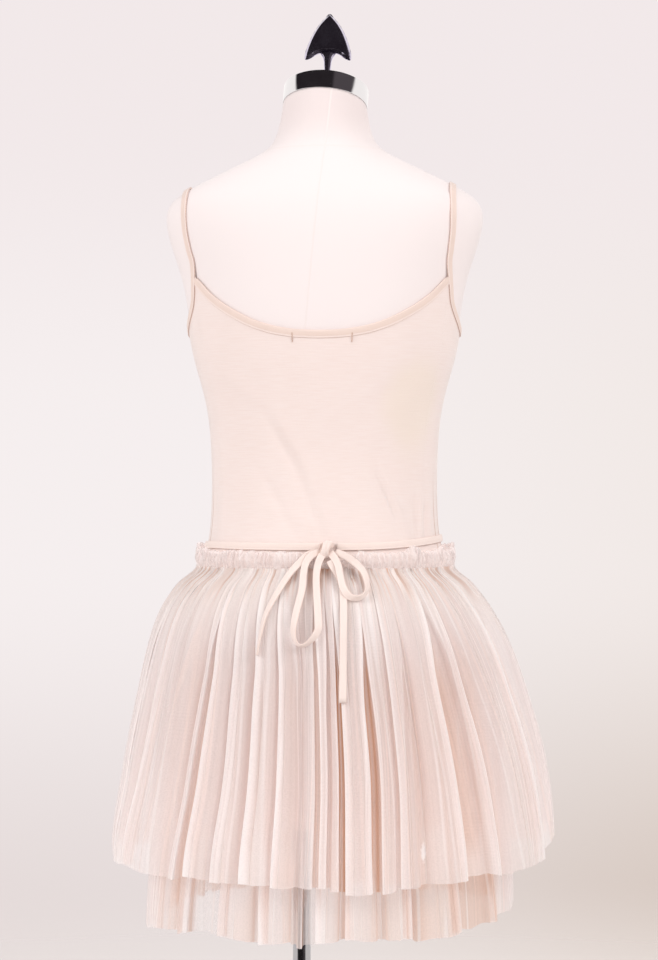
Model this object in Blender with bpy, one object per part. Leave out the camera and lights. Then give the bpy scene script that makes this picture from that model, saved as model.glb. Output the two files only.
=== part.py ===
"""Ballet tutu on its dress form and stand.

A camisole slip hangs by its straps on a limbless dress form, with two gathered layers of tulle
sewn round its waist and a narrow tie in a bow at the back. The form stands on a pole and a round
base. Metres, +Z up. The origin is the middle of the base's underside, and the wearer's back faces
-Y. Every angle runs round the body from the middle of the back, 0, through +X at 90 degrees.
"""

import math
from collections import namedtuple
from itertools import pairwise

import bmesh
import bpy
from mathutils import Matrix, Vector

FIT = 0.0003  # between pieces that touch
TORSO_X = 0.025  # the body stands this far to one side of its pole

# Stand
BASE_RADIUS = 0.190
BASE_HEIGHT = 0.014
BASE_BEVEL = 0.003
HUB_RADIUS = 0.022
HUB_TOP = 0.046
POLE_RADIUS = 0.010

# Neck cap and finial
CAP_RADIUS = 0.047
CAP_HEIGHT = 0.0225
CAP_BEVEL = 0.0012
CAP_PITCH = -18.0  # degrees: the cap's front is lower than its back
CAP_ROLL = 3.0  # degrees: its +X side is lower
FINIAL_THICKNESS = 0.011
FINIAL_BEVEL = 0.0011
STEM_RADIUS = 0.0042
STEM_LENGTH = 0.035
FINIAL_LEAN = -1.5  # degrees more than the cap, towards +X

# Cloth
JERSEY = 0.0012
TULLE = 0.0010
EASE = 0.0015  # between the form and the jersey
BINDING_WALL = 0.0010
NECK_BINDING = 0.009
ARM_BINDING = 0.007
STRAP_WIDTH = 0.008
STRAP_WALL = 0.0020
TIE_WIDTH = 0.008
TIE_WALL = 0.0014
TIE_LIFT = 0.0010  # off the bodice, whose waist is hollow between its rows
SLIP_HEM = 0.641
SLIP_HANGS_FROM = 0.790  # the hips; below them the slip hangs straight down
SIDE_HEIGHT = 1.174  # the underarm
WAIST_SEAM = 0.9165  # the gathered seam
RUFFLE_WAVES = 60

# The form's sections. width is half the breadth, back and front are the depths from the middle,
# lean moves a section forwards, and roundness is a superellipse's power.
Section = namedtuple("Section", "z width back front lean roundness")
FORM = [
    Section(0.655, 0.138, 0.092, 0.080, 0.000, 2.2),
    Section(0.668, 0.150, 0.104, 0.091, 0.000, 2.2),
    Section(0.720, 0.160, 0.112, 0.098, 0.000, 2.2),
    Section(0.790, 0.163, 0.115, 0.100, 0.000, 2.2),
    Section(0.850, 0.155, 0.109, 0.099, 0.000, 2.2),
    Section(0.885, 0.143, 0.101, 0.097, 0.000, 2.2),
    Section(0.9165, 0.1315, 0.0945, 0.0945, 0.000, 2.2),
    Section(0.950, 0.1235, 0.0885, 0.0925, 0.000, 2.2),
    Section(0.985, 0.1218, 0.0850, 0.0915, 0.000, 2.2),
    Section(1.020, 0.1216, 0.0845, 0.0930, 0.000, 2.2),
    Section(1.050, 0.1228, 0.0865, 0.0970, 0.000, 2.2),
    Section(1.080, 0.1252, 0.0905, 0.1020, 0.000, 2.2),
    Section(1.110, 0.1318, 0.0945, 0.1080, 0.000, 2.2),
    Section(1.140, 0.1412, 0.0985, 0.1130, 0.000, 2.2),
    Section(1.170, 0.1472, 0.1015, 0.1140, 0.000, 2.2),
    Section(1.200, 0.1510, 0.1030, 0.1110, 0.000, 2.2),
    Section(1.230, 0.1565, 0.1035, 0.1050, 0.000, 2.2),
    Section(1.260, 0.1670, 0.1030, 0.0970, 0.000, 2.2),
    Section(1.285, 0.1745, 0.1010, 0.0880, 0.000, 2.2),
    Section(1.304, 0.1750, 0.0980, 0.0800, 0.001, 2.2),
    Section(1.316, 0.1690, 0.0945, 0.0740, 0.002, 2.2),
    Section(1.3245, 0.1570, 0.0915, 0.0700, 0.003, 2.2),
    Section(1.335, 0.1380, 0.0860, 0.0660, 0.004, 2.2),
    Section(1.350, 0.1080, 0.0770, 0.0610, 0.005, 2.15),
    Section(1.362, 0.0830, 0.0680, 0.0570, 0.006, 2.1),
    Section(1.373, 0.0620, 0.0580, 0.0530, 0.007, 2.05),
    Section(1.387, 0.0530, 0.0520, 0.0500, 0.008, 2.0),
    Section(1.405, 0.0490, 0.0485, 0.0480, 0.010, 2.0),
    Section(1.4222, 0.0465, 0.0465, 0.0465, 0.012, 2.0),
]
NECK_TOP = FORM[-1].z
TILT_FROM = 1.373  # above this the rings turn steadily into the cap's slant
FORM_SIDES = 40

# The bust's two mounds: how far out, how high and how far apart
BUST_RISE = 0.012
BUST_SPREAD = 0.046
BUST_HALF_GAP = 0.072
BUST_HEIGHT = 1.172

# Edges of the bodice. x is measured from the middle, and an angle from the middle of its own panel.
NECKLINE_BACK = [(0.0, 1.1685), (0.020, 1.1692), (0.043, 1.1725), (0.065, 1.1792), (0.092, 1.1932),
                 (0.113, 1.2090), (0.129, 1.2260), (0.160, 1.2650)]
NECKLINE_FRONT = [(0.0, 1.190), (0.020, 1.1908), (0.045, 1.1950), (0.070, 1.2050), (0.090, 1.2185),
                  (0.104, 1.2330), (0.120, 1.2550)]
ARMHOLE_BACK = [(57.5, 1.2350), (59.4, 1.2265), (64.0, 1.2040), (71.0, 1.1895), (80.0, 1.1790),
                (90.0, SIDE_HEIGHT)]
ARMHOLE_FRONT = [(43.0, 1.2500), (45.0, 1.2400), (52.0, 1.2080), (62.0, 1.1900), (75.0, 1.1790),
                 (90.0, SIDE_HEIGHT)]
# The columns of a bodice panel on each side of its middle; the strap's foot spans the three named.
FOOT_BACK = (55.6, 57.5, 59.4)
FOOT_FRONT = (40.8, 42.9, 45.0)
COLUMNS_BACK = (0, 9, 18, 27, 36, 45, *FOOT_BACK, 63, 72, 81)
COLUMNS_FRONT = (0, 9, 18, 27, 36, *FOOT_FRONT, 54, 63, 72, 81)
PANEL_ROWS = (SLIP_HEM, *(row.z for row in FORM if SLIP_HANGS_FROM <= row.z < SIDE_HEIGHT - 0.01))

# A strap's middle line up the back, over the shoulder and down the front. Both straps lie a little
# towards -X of the middle up there: drift is how far.
StrapRow = namedtuple("StrapRow", "x z lift drift")
STRAP_BACK = [
    StrapRow(0.1362, 1.2312, 0.0029, 0.0),
    StrapRow(0.1376, 1.2430, 0.0018, -0.0010),
    StrapRow(0.1405, 1.2580, 0.0008, -0.0022),
    StrapRow(0.1437, 1.2780, 0.0006, -0.0032),
    StrapRow(0.1448, 1.2970, 0.0006, -0.0038),
    StrapRow(0.1445, 1.3110, 0.0008, -0.0040),
]
STRAP_FRONT = [
    StrapRow(0.1445, 1.3110, 0.0008, -0.0040),
    StrapRow(0.1420, 1.2990, 0.0005, -0.0032),
    StrapRow(0.1370, 1.2850, 0.0005, -0.0022),
    StrapRow(0.1262, 1.2670, 0.0007, -0.0010),
    StrapRow(0.1160, 1.2520, 0.0016, -0.0003),
    StrapRow(0.1132, 1.2415, 0.0029, 0.0),
]
STRAP_OVER = (-0.051, -0.044, -0.036, -0.027, -0.017, -0.006, 0.005, 0.015, 0.024, 0.032, 0.040)  # depths

# The tulle layers' outer faces. drift moves a ring sideways, and fold is the depth of its folds.
Ring = namedtuple("Ring", "z width back front drift fold roundness")
UPPER = [
    Ring(0.596, 0.2440, 0.2100, 0.2050, 0.0095, 0.0150, 2.0),
    Ring(0.690, 0.2335, 0.1900, 0.1860, 0.0115, 0.0140, 2.0),
    Ring(0.805, 0.2085, 0.1640, 0.1610, 0.0070, 0.0120, 2.0),
    Ring(0.843, 0.1960, 0.1540, 0.1510, 0.0040, 0.0105, 2.05),
    Ring(0.8725, 0.1815, 0.1410, 0.1400, 0.0018, 0.0085, 2.1),
    Ring(0.8967, 0.1630, 0.1230, 0.1230, 0.0010, 0.0055, 2.15),
    Ring(WAIST_SEAM, 0.1410, 0.1043, 0.1043, 0.001, 0.0018, 2.2),
]
LOWER = [
    Ring(0.534, 0.2040, 0.1880, 0.1820, 0.006, 0.0140, 2.0),
    Ring(0.600, 0.2010, 0.1790, 0.1740, 0.006, 0.0130, 2.0),
    Ring(0.780, 0.1860, 0.1430, 0.1370, 0.005, 0.0080, 2.1),
    Ring(0.850, 0.1740, 0.1300, 0.1250, 0.004, 0.0050, 2.15),
    Ring(0.885, 0.1580, 0.1160, 0.1150, 0.003, 0.0030, 2.2),
    Ring(WAIST_SEAM, 0.1372, 0.1003, 0.1003, 0.000, 0.0014, 2.2),
]
# The ruffle above the seam, on the same edge as the upper layer
RUFFLE = [
    Ring(WAIST_SEAM + FIT, 0.1410, 0.1043, 0.1043, 0.001, 0.0018, 2.2),
    Ring(0.9240, 0.1440, 0.1080, 0.1080, 0.001, 0.0045, 2.2),
    Ring(0.9335, 0.1435, 0.1085, 0.1085, 0.001, 0.0080, 2.2),
]
RUFFLE_FRONT_TOP = 0.9400
PRESSED_HALF = 0.030  # the ruffle is pressed down this far to each side of the bow's knot
PRESSED_TO = 0.35  # and keeps this much of its height at the knot

# The folds of each layer's back: where each starts and ends, in degrees, how far out it stands,
# from 0 in the deepest tuck to 1, and how far its hem is above the lowest ring. The front has the
# same folds the other way round.
Fold = namedtuple("Fold", "start end rise hem")
UPPER_FOLDS = [
    Fold(-87.0, -77.5, 0.6, -0.001),
    Fold(-75.5, -66.0, 0.7, 0.002),
    Fold(-64.0, -58.8, 0.7, 0.001),
    Fold(-56.8, -48.0, 0.95, 0.002),
    Fold(-46.2, -39.2, 0.85, 0.000),
    Fold(-34.1, -28.0, 1.0, 0.003),
    Fold(-26.2, -21.2, 0.8, 0.000),
    Fold(-19.2, -14.4, 1.0, 0.001),
    Fold(-12.8, -10.2, 0.7, -0.001),
    Fold(-8.8, -6.9, 0.5, -0.002),
    Fold(-5.4, -2.9, 0.6, 0.000),
    Fold(-1.4, 0.4, 0.9, 0.000),
    Fold(2.0, 4.0, 1.0, -0.004),
    Fold(5.6, 10.3, 0.9, -0.006),
    Fold(13.8, 17.6, 1.0, -0.005),
    Fold(19.2, 23.8, 0.9, -0.002),
    Fold(25.6, 28.6, 0.8, 0.000),
    Fold(30.4, 33.6, 1.0, 0.001),
    Fold(41.2, 44.0, 1.0, 0.000),
    Fold(46.0, 50.6, 0.85, 0.000),
    Fold(52.6, 56.4, 0.75, 0.002),
    Fold(58.4, 63.6, 0.85, 0.005),
    Fold(66.0, 76.5, 0.6, 0.016),
    Fold(79.5, 87.0, 0.7, 0.034),
]
LOWER_FOLDS = [
    Fold(-87.0, -77.0, 0.8, -0.011),
    Fold(-75.0, -66.0, 0.9, -0.008),
    Fold(-64.0, -58.5, 0.8, -0.004),
    Fold(-56.5, -51.0, 0.9, 0.000),
    Fold(-49.0, -43.0, 1.0, -0.003),
    Fold(-31.0, -27.6, 0.9, 0.004),
    Fold(-25.6, -20.4, 1.0, 0.000),
    Fold(-18.4, -14.6, 0.9, -0.002),
    Fold(-12.8, -9.6, 0.8, 0.001),
    Fold(-7.8, -5.8, 0.7, -0.004),
    Fold(-1.4, 1.4, 0.9, 0.002),
    Fold(3.2, 5.6, 0.7, 0.004),
    Fold(7.4, 11.6, 1.0, 0.005),
    Fold(13.4, 16.8, 0.8, 0.003),
    Fold(18.8, 26.6, 0.9, 0.004),
    Fold(28.6, 33.8, 1.0, 0.000),
    Fold(35.8, 43.0, 0.8, 0.004),
    Fold(45.0, 57.8, 0.9, 0.001),
    Fold(60.0, 69.0, 0.8, 0.006),
    Fold(71.2, 87.0, 0.8, 0.012),
]
STEEPEST = 1.3  # a tuck's depth for each unit of its half width, so that its walls stay apart

# The tie, along the waist from each side seam to the knot: an angle and a height
TIE_LEFT = [(-84.0, 0.9385), (-60.0, 0.9390), (-38.0, 0.9386), (-16.0, 0.9384), (0.1, 0.9384)]
TIE_RIGHT = [(6.6, 0.9384), (24.0, 0.9390), (42.0, 0.9410), (62.0, 0.9440), (84.0, 0.9460)]

# The bow's ends: x from the body's middle, height, and how far the strip lies outside the ruffle
# and the skirt. Below 0 it is where the knot presses the ruffle down.
Lie = namedtuple("Lie", "x z lift")
KNOT = Lie(0.0090, 0.9370, 0.0)
KNOT_SIZE = (0.0165, 0.0145, 0.0200)
KNOT_BEVEL = 0.0035
KNOT_OFF_BODICE = 0.0006
BOW = {
    "bow_loop_left": [
        Lie(-0.0032, 0.9348, -0.0072),
        Lie(-0.0085, 0.9300, -0.0018),
        Lie(-0.0132, 0.9230, 0.0030),
        Lie(-0.0155, 0.9100, 0.0028),
        Lie(-0.0165, 0.8926, 0.0026),
        Lie(-0.0215, 0.8695, 0.0026),
        Lie(-0.0236, 0.8512, 0.0026),
        Lie(-0.0200, 0.8402, 0.0026),
        Lie(-0.0138, 0.8372, 0.0026),
        Lie(-0.0058, 0.8423, 0.0026),
        Lie(0.0004, 0.8504, 0.0026),
        Lie(0.0020, 0.8594, 0.0026),
        Lie(0.0000, 0.8806, 0.0026),
        Lie(-0.0020, 0.9038, 0.0026),
        Lie(-0.0010, 0.9170, 0.0026),
        Lie(0.0025, 0.9260, -0.0012),
    ],
    "bow_tail_left": [
        Lie(-0.0040, 0.9362, -0.0100),
        Lie(-0.0120, 0.9305, -0.0036),
        Lie(-0.0195, 0.9235, 0.0006),
        Lie(-0.0310, 0.9098, 0.0006),
        Lie(-0.0450, 0.8863, 0.0006),
        Lie(-0.0542, 0.8661, 0.0006),
        Lie(-0.0595, 0.8386, 0.0006),
        Lie(-0.0608, 0.8277, 0.0006),
    ],
    "bow_loop_right": [
        Lie(0.0200, 0.9262, 0.0024),
        Lie(0.0216, 0.9170, 0.0040),
        Lie(0.0232, 0.9062, 0.0034),
        Lie(0.0255, 0.8947, 0.0026),
        Lie(0.0310, 0.8866, 0.0026),
        Lie(0.0410, 0.8836, 0.0026),
        Lie(0.0490, 0.8880, 0.0026),
        Lie(0.0508, 0.8965, 0.0026),
        Lie(0.0464, 0.9118, 0.0026),
        Lie(0.0376, 0.9225, 0.0030),
        Lie(0.0290, 0.9300, -0.0004),
        Lie(0.0212, 0.9352, -0.0072),
    ],
    "bow_tail_right": [
        Lie(0.0116, 0.9248, -0.0004),
        Lie(0.0144, 0.9190, 0.0014),
        Lie(0.0215, 0.9080, 0.0006),
        Lie(0.0262, 0.8947, 0.0006),
        Lie(0.0276, 0.8650, 0.0006),
        Lie(0.0278, 0.8341, 0.0006),
        Lie(0.0278, 0.7805, 0.0006),
    ],
}
BOW_STEPS = 2  # points between two rows of the bow's tables

# The finial's head, from its tip down one side: half width and drop
FINIAL_HALF = [(0.0, 0.0), (0.0105, 0.0121), (0.0184, 0.0255), (0.0232, 0.0379), (0.0258, 0.0493),
               (0.0262, 0.0549), (0.0248, 0.0571), (0.0195, 0.0554), (0.0135, 0.0510), (0.0085, 0.0488)]


def material(name, colour, roughness, metallic=0.0):
    """A Principled material in this colour, given as linear red, green and blue."""
    made = bpy.data.materials.new(name)
    made.use_nodes = True
    shader = made.node_tree.nodes["Principled BSDF"]
    shader.inputs["Base Color"].default_value = (*colour, 1.0)
    shader.inputs["Roughness"].default_value = roughness
    shader.inputs["Metallic"].default_value = metallic
    return made


def put(name, mesh_or_bmesh, finish, smooth=True):
    """A new object of this name, shaded smooth but for its sharp edges."""
    if isinstance(mesh_or_bmesh, bmesh.types.BMesh):
        mesh = bpy.data.meshes.new(name)
        mesh_or_bmesh.to_mesh(mesh)
        mesh_or_bmesh.free()
    else:
        mesh = mesh_or_bmesh
    mesh.materials.append(finish)
    if smooth:
        mesh.shade_smooth()
        mesh.set_sharp_from_angle(angle=math.radians(40))
    made = bpy.data.objects.new(name, mesh)
    bpy.context.scene.collection.objects.link(made)
    return made


def slope(table, row, column):
    """The slope at a row, the harmonic mean of those beside it, so that no curve overshoots."""
    if row in (0, len(table) - 1):
        row = min(row, len(table) - 2)
        return (table[row + 1][column] - table[row][column]) / (table[row + 1][0] - table[row][0])
    before, after = (
        (table[i + 1][column] - table[i][column]) / (table[i + 1][0] - table[i][0]) for i in (row - 1, row)
    )
    return 2 * before * after / (before + after) if before * after > 0 else 0.0


def reading(table, at):
    """All columns of a table where its first column is this, on smooth curves through its rows."""
    low = 0
    while low < len(table) - 2 and table[low + 1][0] < at:
        low += 1
    span = table[low + 1][0] - table[low][0]
    t = min(max((at - table[low][0]) / span, 0.0), 1.0)
    found = [at]
    for column in range(1, len(table[0])):
        start, end = table[low][column], table[low + 1][column]
        pull = slope(table, low, column) * span
        push = slope(table, low + 1, column) * span
        found.append(
            start + t * pull + t * t * (3 * (end - start) - 2 * pull - push)
            + t**3 * (2 * (start - end) + pull + push)
        )
    return type(table[0])(*found) if hasattr(table[0], "_fields") else tuple(found)


def oval(angle, width, back, front, roundness):
    """The point of a superellipse at this angle, with its own depth on each side."""
    across, along = math.sin(math.radians(angle)), math.cos(math.radians(angle))
    power = 2 / roundness
    depth = back if along > 0 else front
    return (
        math.copysign(width * abs(across) ** power, across),
        -math.copysign(depth * abs(along) ** power, along),
    )


def bust(x, z):
    """How far the bust stands out of the front at this place."""
    level = math.exp(-(((z - BUST_HEIGHT) / BUST_SPREAD) ** 2))
    sides = (math.exp(-(((x - side * BUST_HALF_GAP) / BUST_SPREAD) ** 2)) for side in (-1, 1))
    return BUST_RISE * level * sum(sides)


def depth_in_form(x, y, z):
    """Below 1 inside the form and above 1 outside it; x is measured from the body's middle."""
    ring = reading(FORM, z)
    y -= ring.lean
    if y > 0:
        y -= bust(x, z)
    reach = ring.back if y < 0 else ring.front
    return (abs(x) / ring.width) ** ring.roundness + (abs(y) / reach) ** ring.roundness


def outward(x, y, z):
    """The direction straight out of the form at this place on it."""
    step = 0.0004
    grad = [
        depth_in_form(x + a, y + b, z + c) - depth_in_form(x - a, y - b, z - c)
        for a, b, c in ((step, 0, 0), (0, step, 0), (0, 0, step))
    ]
    return Vector(grad).normalized()


def on_form(angle, z, out=0.0):
    """A point at this angle and height, this far out of the form's surface."""
    ring = reading(FORM, z)
    x, y = oval(angle, ring.width, ring.back, ring.front, ring.roundness)
    if y > 0:
        y += bust(x, z)
    y += ring.lean
    point = Vector((x, y, z))
    if out:
        point += outward(x, y, z) * out
    return point + Vector((TORSO_X, 0, 0))


def front_or_back(x, z, side):
    """The depth of the form's surface at this x and height: side is -1 at the back, 1 in front."""
    ring = reading(FORM, z)
    left = 1 - (abs(x) / ring.width) ** ring.roundness
    depth = (ring.back if side < 0 else ring.front) * max(left, 0.0) ** (1 / ring.roundness)
    return ring.lean + side * depth + (bust(x, z) if side > 0 else 0.0)


def shoulder_height(x, y):
    """The height of the shoulder's top at this place, by halving."""
    low, high = 1.27, NECK_TOP
    for _ in range(30):
        middle = (low + high) / 2
        if depth_in_form(x, y, middle) < 1:
            low = middle
        else:
            high = middle
    return low


def cloth(name, rows, wall, finish, outwards=True):
    """A wall of cloth through rows of points that run to +X at the back, from the lowest row up."""
    bm = bmesh.new()
    lines = [[bm.verts.new(point) for point in row] for row in rows]
    for low, high in pairwise(lines):
        for (a, b), (d, c) in zip(pairwise(low), pairwise(high), strict=True):
            bm.faces.new((a, b, c, d))
    made = put(name, bm, finish)
    thick = made.modifiers.new("Wall", "SOLIDIFY")
    thick.thickness = wall
    thick.offset = 1.0 if outwards else -1.0
    thick.use_even_offset = True
    thick.use_quality_normals = True
    return made


def strip(name, path, width, wall, finish):
    """A flat band along a path of points with the direction that its outer face looks."""
    edges = ([], [])
    for i, (point, normal) in enumerate(path):
        before, after = path[max(i - 1, 0)][0], path[min(i + 1, len(path) - 1)][0]
        across = normal.cross(after - before).normalized() * (width / 2)
        edges[0].append(point - across)
        edges[1].append(point + across)
    return cloth(name, edges, wall, finish)


def through(rows, steps):
    """The rows of a table with this many steps between them, on one Catmull-Rom curve."""
    found = []
    for i in range(len(rows) - 1):
        four = [Vector(rows[min(max(k, 0), len(rows) - 1)]) for k in range(i - 1, i + 3)]
        for step in range(steps):
            t = step / steps
            found.append(
                0.5 * (
                    2 * four[1] + (four[2] - four[0]) * t
                    + (2 * four[0] - 5 * four[1] + 4 * four[2] - four[3]) * t * t
                    + (3 * four[1] - four[0] - 3 * four[2] + four[3]) * t**3
                )
            )
    return [*found, Vector(rows[-1])]


def lathe(name, profile, sides, finish):
    """A solid turned round the Z axis from (radius, z) points, outside first, from the top down."""
    bm = bmesh.new()
    line = [bm.verts.new((radius, 0, z)) for radius, z in profile]
    edges = [bm.edges.new(pair) for pair in pairwise(line)]
    bmesh.ops.spin(bm, geom=line + edges, cent=(0, 0, 0), axis=(0, 0, 1), angle=math.tau, steps=sides,
                   use_merge=True)
    bmesh.ops.remove_doubles(bm, verts=bm.verts, dist=1e-6)
    bmesh.ops.recalc_face_normals(bm, faces=bm.faces)
    return put(name, bm, finish)


def build_stand(steel, iron):
    """The round base with its hub, and the pole up into the form."""
    lathe("base", [
        (0, HUB_TOP), (HUB_RADIUS, HUB_TOP), (HUB_RADIUS, BASE_HEIGHT),
        (BASE_RADIUS - BASE_BEVEL, BASE_HEIGHT), (BASE_RADIUS, BASE_HEIGHT - BASE_BEVEL),
        (BASE_RADIUS, 0), (0, 0),
    ], 48, iron)
    bm = bmesh.new()
    length = FORM[0].z - HUB_TOP - 2 * FIT
    bmesh.ops.create_cone(bm, cap_ends=True, segments=24, radius1=POLE_RADIUS, radius2=POLE_RADIUS,
                          depth=length)
    bmesh.ops.translate(bm, verts=bm.verts, vec=(0, 0, HUB_TOP + FIT + length / 2))
    put("pole", bm, steel)


def neck_tilt():
    """The turn of the neck's cut top, and the point it turns about."""
    turn = Matrix.Rotation(math.radians(CAP_PITCH), 3, "X") @ Matrix.Rotation(math.radians(CAP_ROLL), 3, "Y")
    return turn, Vector((TORSO_X, FORM[-1].lean, NECK_TOP))


def build_form(linen):
    """The limbless torso: rings through its sections, closed at the neck's cut and underneath."""
    turn, pivot = neck_tilt()
    bm = bmesh.new()
    rings = []
    for row in FORM:
        ring = [on_form(360 * k / FORM_SIDES, row.z) for k in range(FORM_SIDES)]
        share = max(0.0, (row.z - TILT_FROM) / (NECK_TOP - TILT_FROM))
        flat = Vector((pivot.x, pivot.y, row.z))
        ring = [p.lerp(flat + turn @ (p - flat), share) for p in ring]
        rings.append([bm.verts.new(p) for p in ring])
    for low, high in pairwise(rings):
        for k in range(FORM_SIDES):
            after = (k + 1) % FORM_SIDES
            bm.faces.new((low[k], low[after], high[after], high[k]))
    bm.faces.new(rings[0][::-1])
    bm.faces.new(rings[-1])
    put("form_torso", bm, linen)


def build_cap(chrome):
    """The turned cap on the neck's slanted cut."""
    turn, pivot = neck_tilt()
    cap = lathe("neck_cap", [
        (0, CAP_HEIGHT), (CAP_RADIUS - CAP_BEVEL, CAP_HEIGHT), (CAP_RADIUS, CAP_HEIGHT - CAP_BEVEL),
        (CAP_RADIUS, 0), (0, 0),
    ], 48, chrome)
    cap.data.transform(Matrix.Translation(pivot) @ turn.to_4x4() @ Matrix.Translation((0, 0, FIT)))


def build_finial(chrome):
    """The spade-shaped finial on its short stem, which stands on the cap."""
    turn, pivot = neck_tilt()
    foot = pivot + turn @ Vector((0, 0, CAP_HEIGHT + 2 * FIT))
    lean = Matrix.Translation(foot) @ turn.to_4x4() @ Matrix.Rotation(math.radians(FINIAL_LEAN), 4, "Y")
    drop = max(z for _, z in FINIAL_HALF)
    outline = [(x, STEM_LENGTH + drop - z) for x, z in FINIAL_HALF]
    outline += [(-x, z) for x, z in outline[:0:-1]]
    bm = bmesh.new()
    face = bm.faces.new([bm.verts.new((x, -FINIAL_THICKNESS / 2, z)) for x, z in outline])
    made = bmesh.ops.extrude_face_region(bm, geom=[face])["geom"]
    moved = [v for v in made if isinstance(v, bmesh.types.BMVert)]
    bmesh.ops.translate(bm, verts=moved, vec=(0, FINIAL_THICKNESS, 0))
    bmesh.ops.recalc_face_normals(bm, faces=bm.faces)
    rim = [e for e in bm.edges if abs(e.verts[0].co.y - e.verts[1].co.y) < 1e-6]
    bmesh.ops.bevel(bm, geom=rim, offset=FINIAL_BEVEL, segments=2, profile=0.5, affect="EDGES", material=-1)
    head = put("finial", bm, chrome)
    stem = lathe("finial_stem", [
        (0, STEM_LENGTH + 0.012), (STEM_RADIUS, STEM_LENGTH + 0.012), (STEM_RADIUS, 0.004),
        (STEM_RADIUS * 1.5, 0.0012), (STEM_RADIUS * 1.5, 0), (0, 0),
    ], 20, chrome)
    stem.hide_render = True
    stem.display_type = "WIRE"
    joined = head.modifiers.new("Stem", "BOOLEAN")
    joined.operation = "UNION"
    joined.object = stem
    for piece in (head, stem):
        piece.data.transform(lean)


def edge_height(angle, neckline, armhole, foot):
    """The height of a bodice panel's top edge at this angle from the panel's middle."""
    turned = abs(angle)
    if foot[0] <= turned <= foot[2]:
        turned = foot[0]
    if turned > foot[2]:
        return reading(armhole, turned)[1]
    height = 1.2
    for _ in range(12):
        ring = reading(FORM, height)
        x = oval(turned, ring.width + EASE, 1, 1, ring.roundness)[0]
        height = reading(neckline, x)[1]
    return height


def build_bodice(side, jersey, binding):
    """One panel of the camisole slip, from its neckline down to the hem under the skirt, with the
    bindings of its edges, each made from the panel's own points, moved out."""
    back = side == "back"
    neckline, armhole, foot, columns = (
        (NECKLINE_BACK, ARMHOLE_BACK, FOOT_BACK, COLUMNS_BACK)
        if back
        else (NECKLINE_FRONT, ARMHOLE_FRONT, FOOT_FRONT, COLUMNS_FRONT)
    )
    seam = 90 - math.degrees((0.5 * FIT / 0.09) ** 1.1)
    turns = [*(-a for a in columns[:0:-1]), *columns]
    turns = [-seam, *turns, seam]
    middle = 0 if back else 180

    def at(turned, z, out):
        point = on_form(middle + turned, max(z, SLIP_HANGS_FROM), out)
        point.z += min(z - SLIP_HANGS_FROM, 0.0)
        return point

    tops = [edge_height(turned, neckline, armhole, foot) for turned in turns]
    feet = []
    for turned, top in zip(turns, tops, strict=True):
        if abs(turned) <= foot[1]:
            width, place = NECK_BINDING, min(abs(turned), foot[0] - 1)
        else:
            width, place = ARM_BINDING, min(max(abs(turned), foot[2] + 1), 89)
        one, other = (at(a, edge_height(a, neckline, armhole, foot), EASE) for a in (place - 1, place + 1))
        feet.append(top - width * (one - other).length / math.hypot(one.x - other.x, one.y - other.y))
    rows = [[at(a, z, EASE) for a in turns] for z in PANEL_ROWS]
    for share in (0.36, 0.7, 1.0):
        heights = (PANEL_ROWS[-1] + share * (foot - PANEL_ROWS[-1]) for foot in feet)
        rows.append([at(a, z, EASE) for a, z in zip(turns, heights, strict=True)])
    rows.append([at(a, z, EASE) for a, z in zip(turns, tops, strict=True)])
    cloth(f"bodice_{side}", rows, JERSEY, jersey)

    def band(name, first, last):
        """A binding over the panel's columns between these two angles."""
        picked = [k for k, a in enumerate(turns) if first - 1e-6 <= a <= last + 1e-6]
        out = EASE + JERSEY + FIT
        low = [at(turns[k], feet[k], out) for k in picked]
        high = [at(turns[k], tops[k], out) for k in picked]
        for row in (low, high):
            row[0] += (row[1] - row[0]).normalized() * FIT / 2
            row[-1] += (row[-2] - row[-1]).normalized() * FIT / 2
        cloth(name, [low, high], BINDING_WALL, binding)

    hands = ("left", "right") if back else ("right", "left")
    band(f"neck_binding_{side}", -foot[1], foot[1])
    band(f"armhole_binding_{side}_{hands[0]}", -90, -foot[1])
    band(f"armhole_binding_{side}_{hands[1]}", foot[1], 90)


def build_strap(name, hand, binding):
    """A shoulder strap from the back's corner over the shoulder to the front's."""
    places = []
    for x, z, lift, drift in through(STRAP_BACK, 2):
        beside = hand * x + drift
        places.append((beside, front_or_back(beside, z, -1), z, lift))
    top = hand * STRAP_BACK[-1].x + STRAP_BACK[-1].drift
    for y in STRAP_OVER:
        places.append((top, y, shoulder_height(top, y), STRAP_BACK[-1].lift))
    for x, z, lift, drift in through(STRAP_FRONT, 2):
        beside = hand * x + drift
        places.append((beside, front_or_back(beside, z, 1), z, lift))
    path = []
    for x, y, z, lift in places:
        normal = outward(x, y, z)
        path.append((Vector((TORSO_X + x, y, z)) + normal * lift, normal))
    strip(name, path, STRAP_WIDTH, STRAP_WALL, binding)


def tulle_point(ring, angle, inset):
    """The point of a ring at this angle, this far inside its outermost face."""
    x, y = oval(angle, ring.width - inset, ring.back - inset, ring.front - inset, ring.roundness)
    return Vector((TORSO_X + ring.drift + x, y, ring.z))


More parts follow.
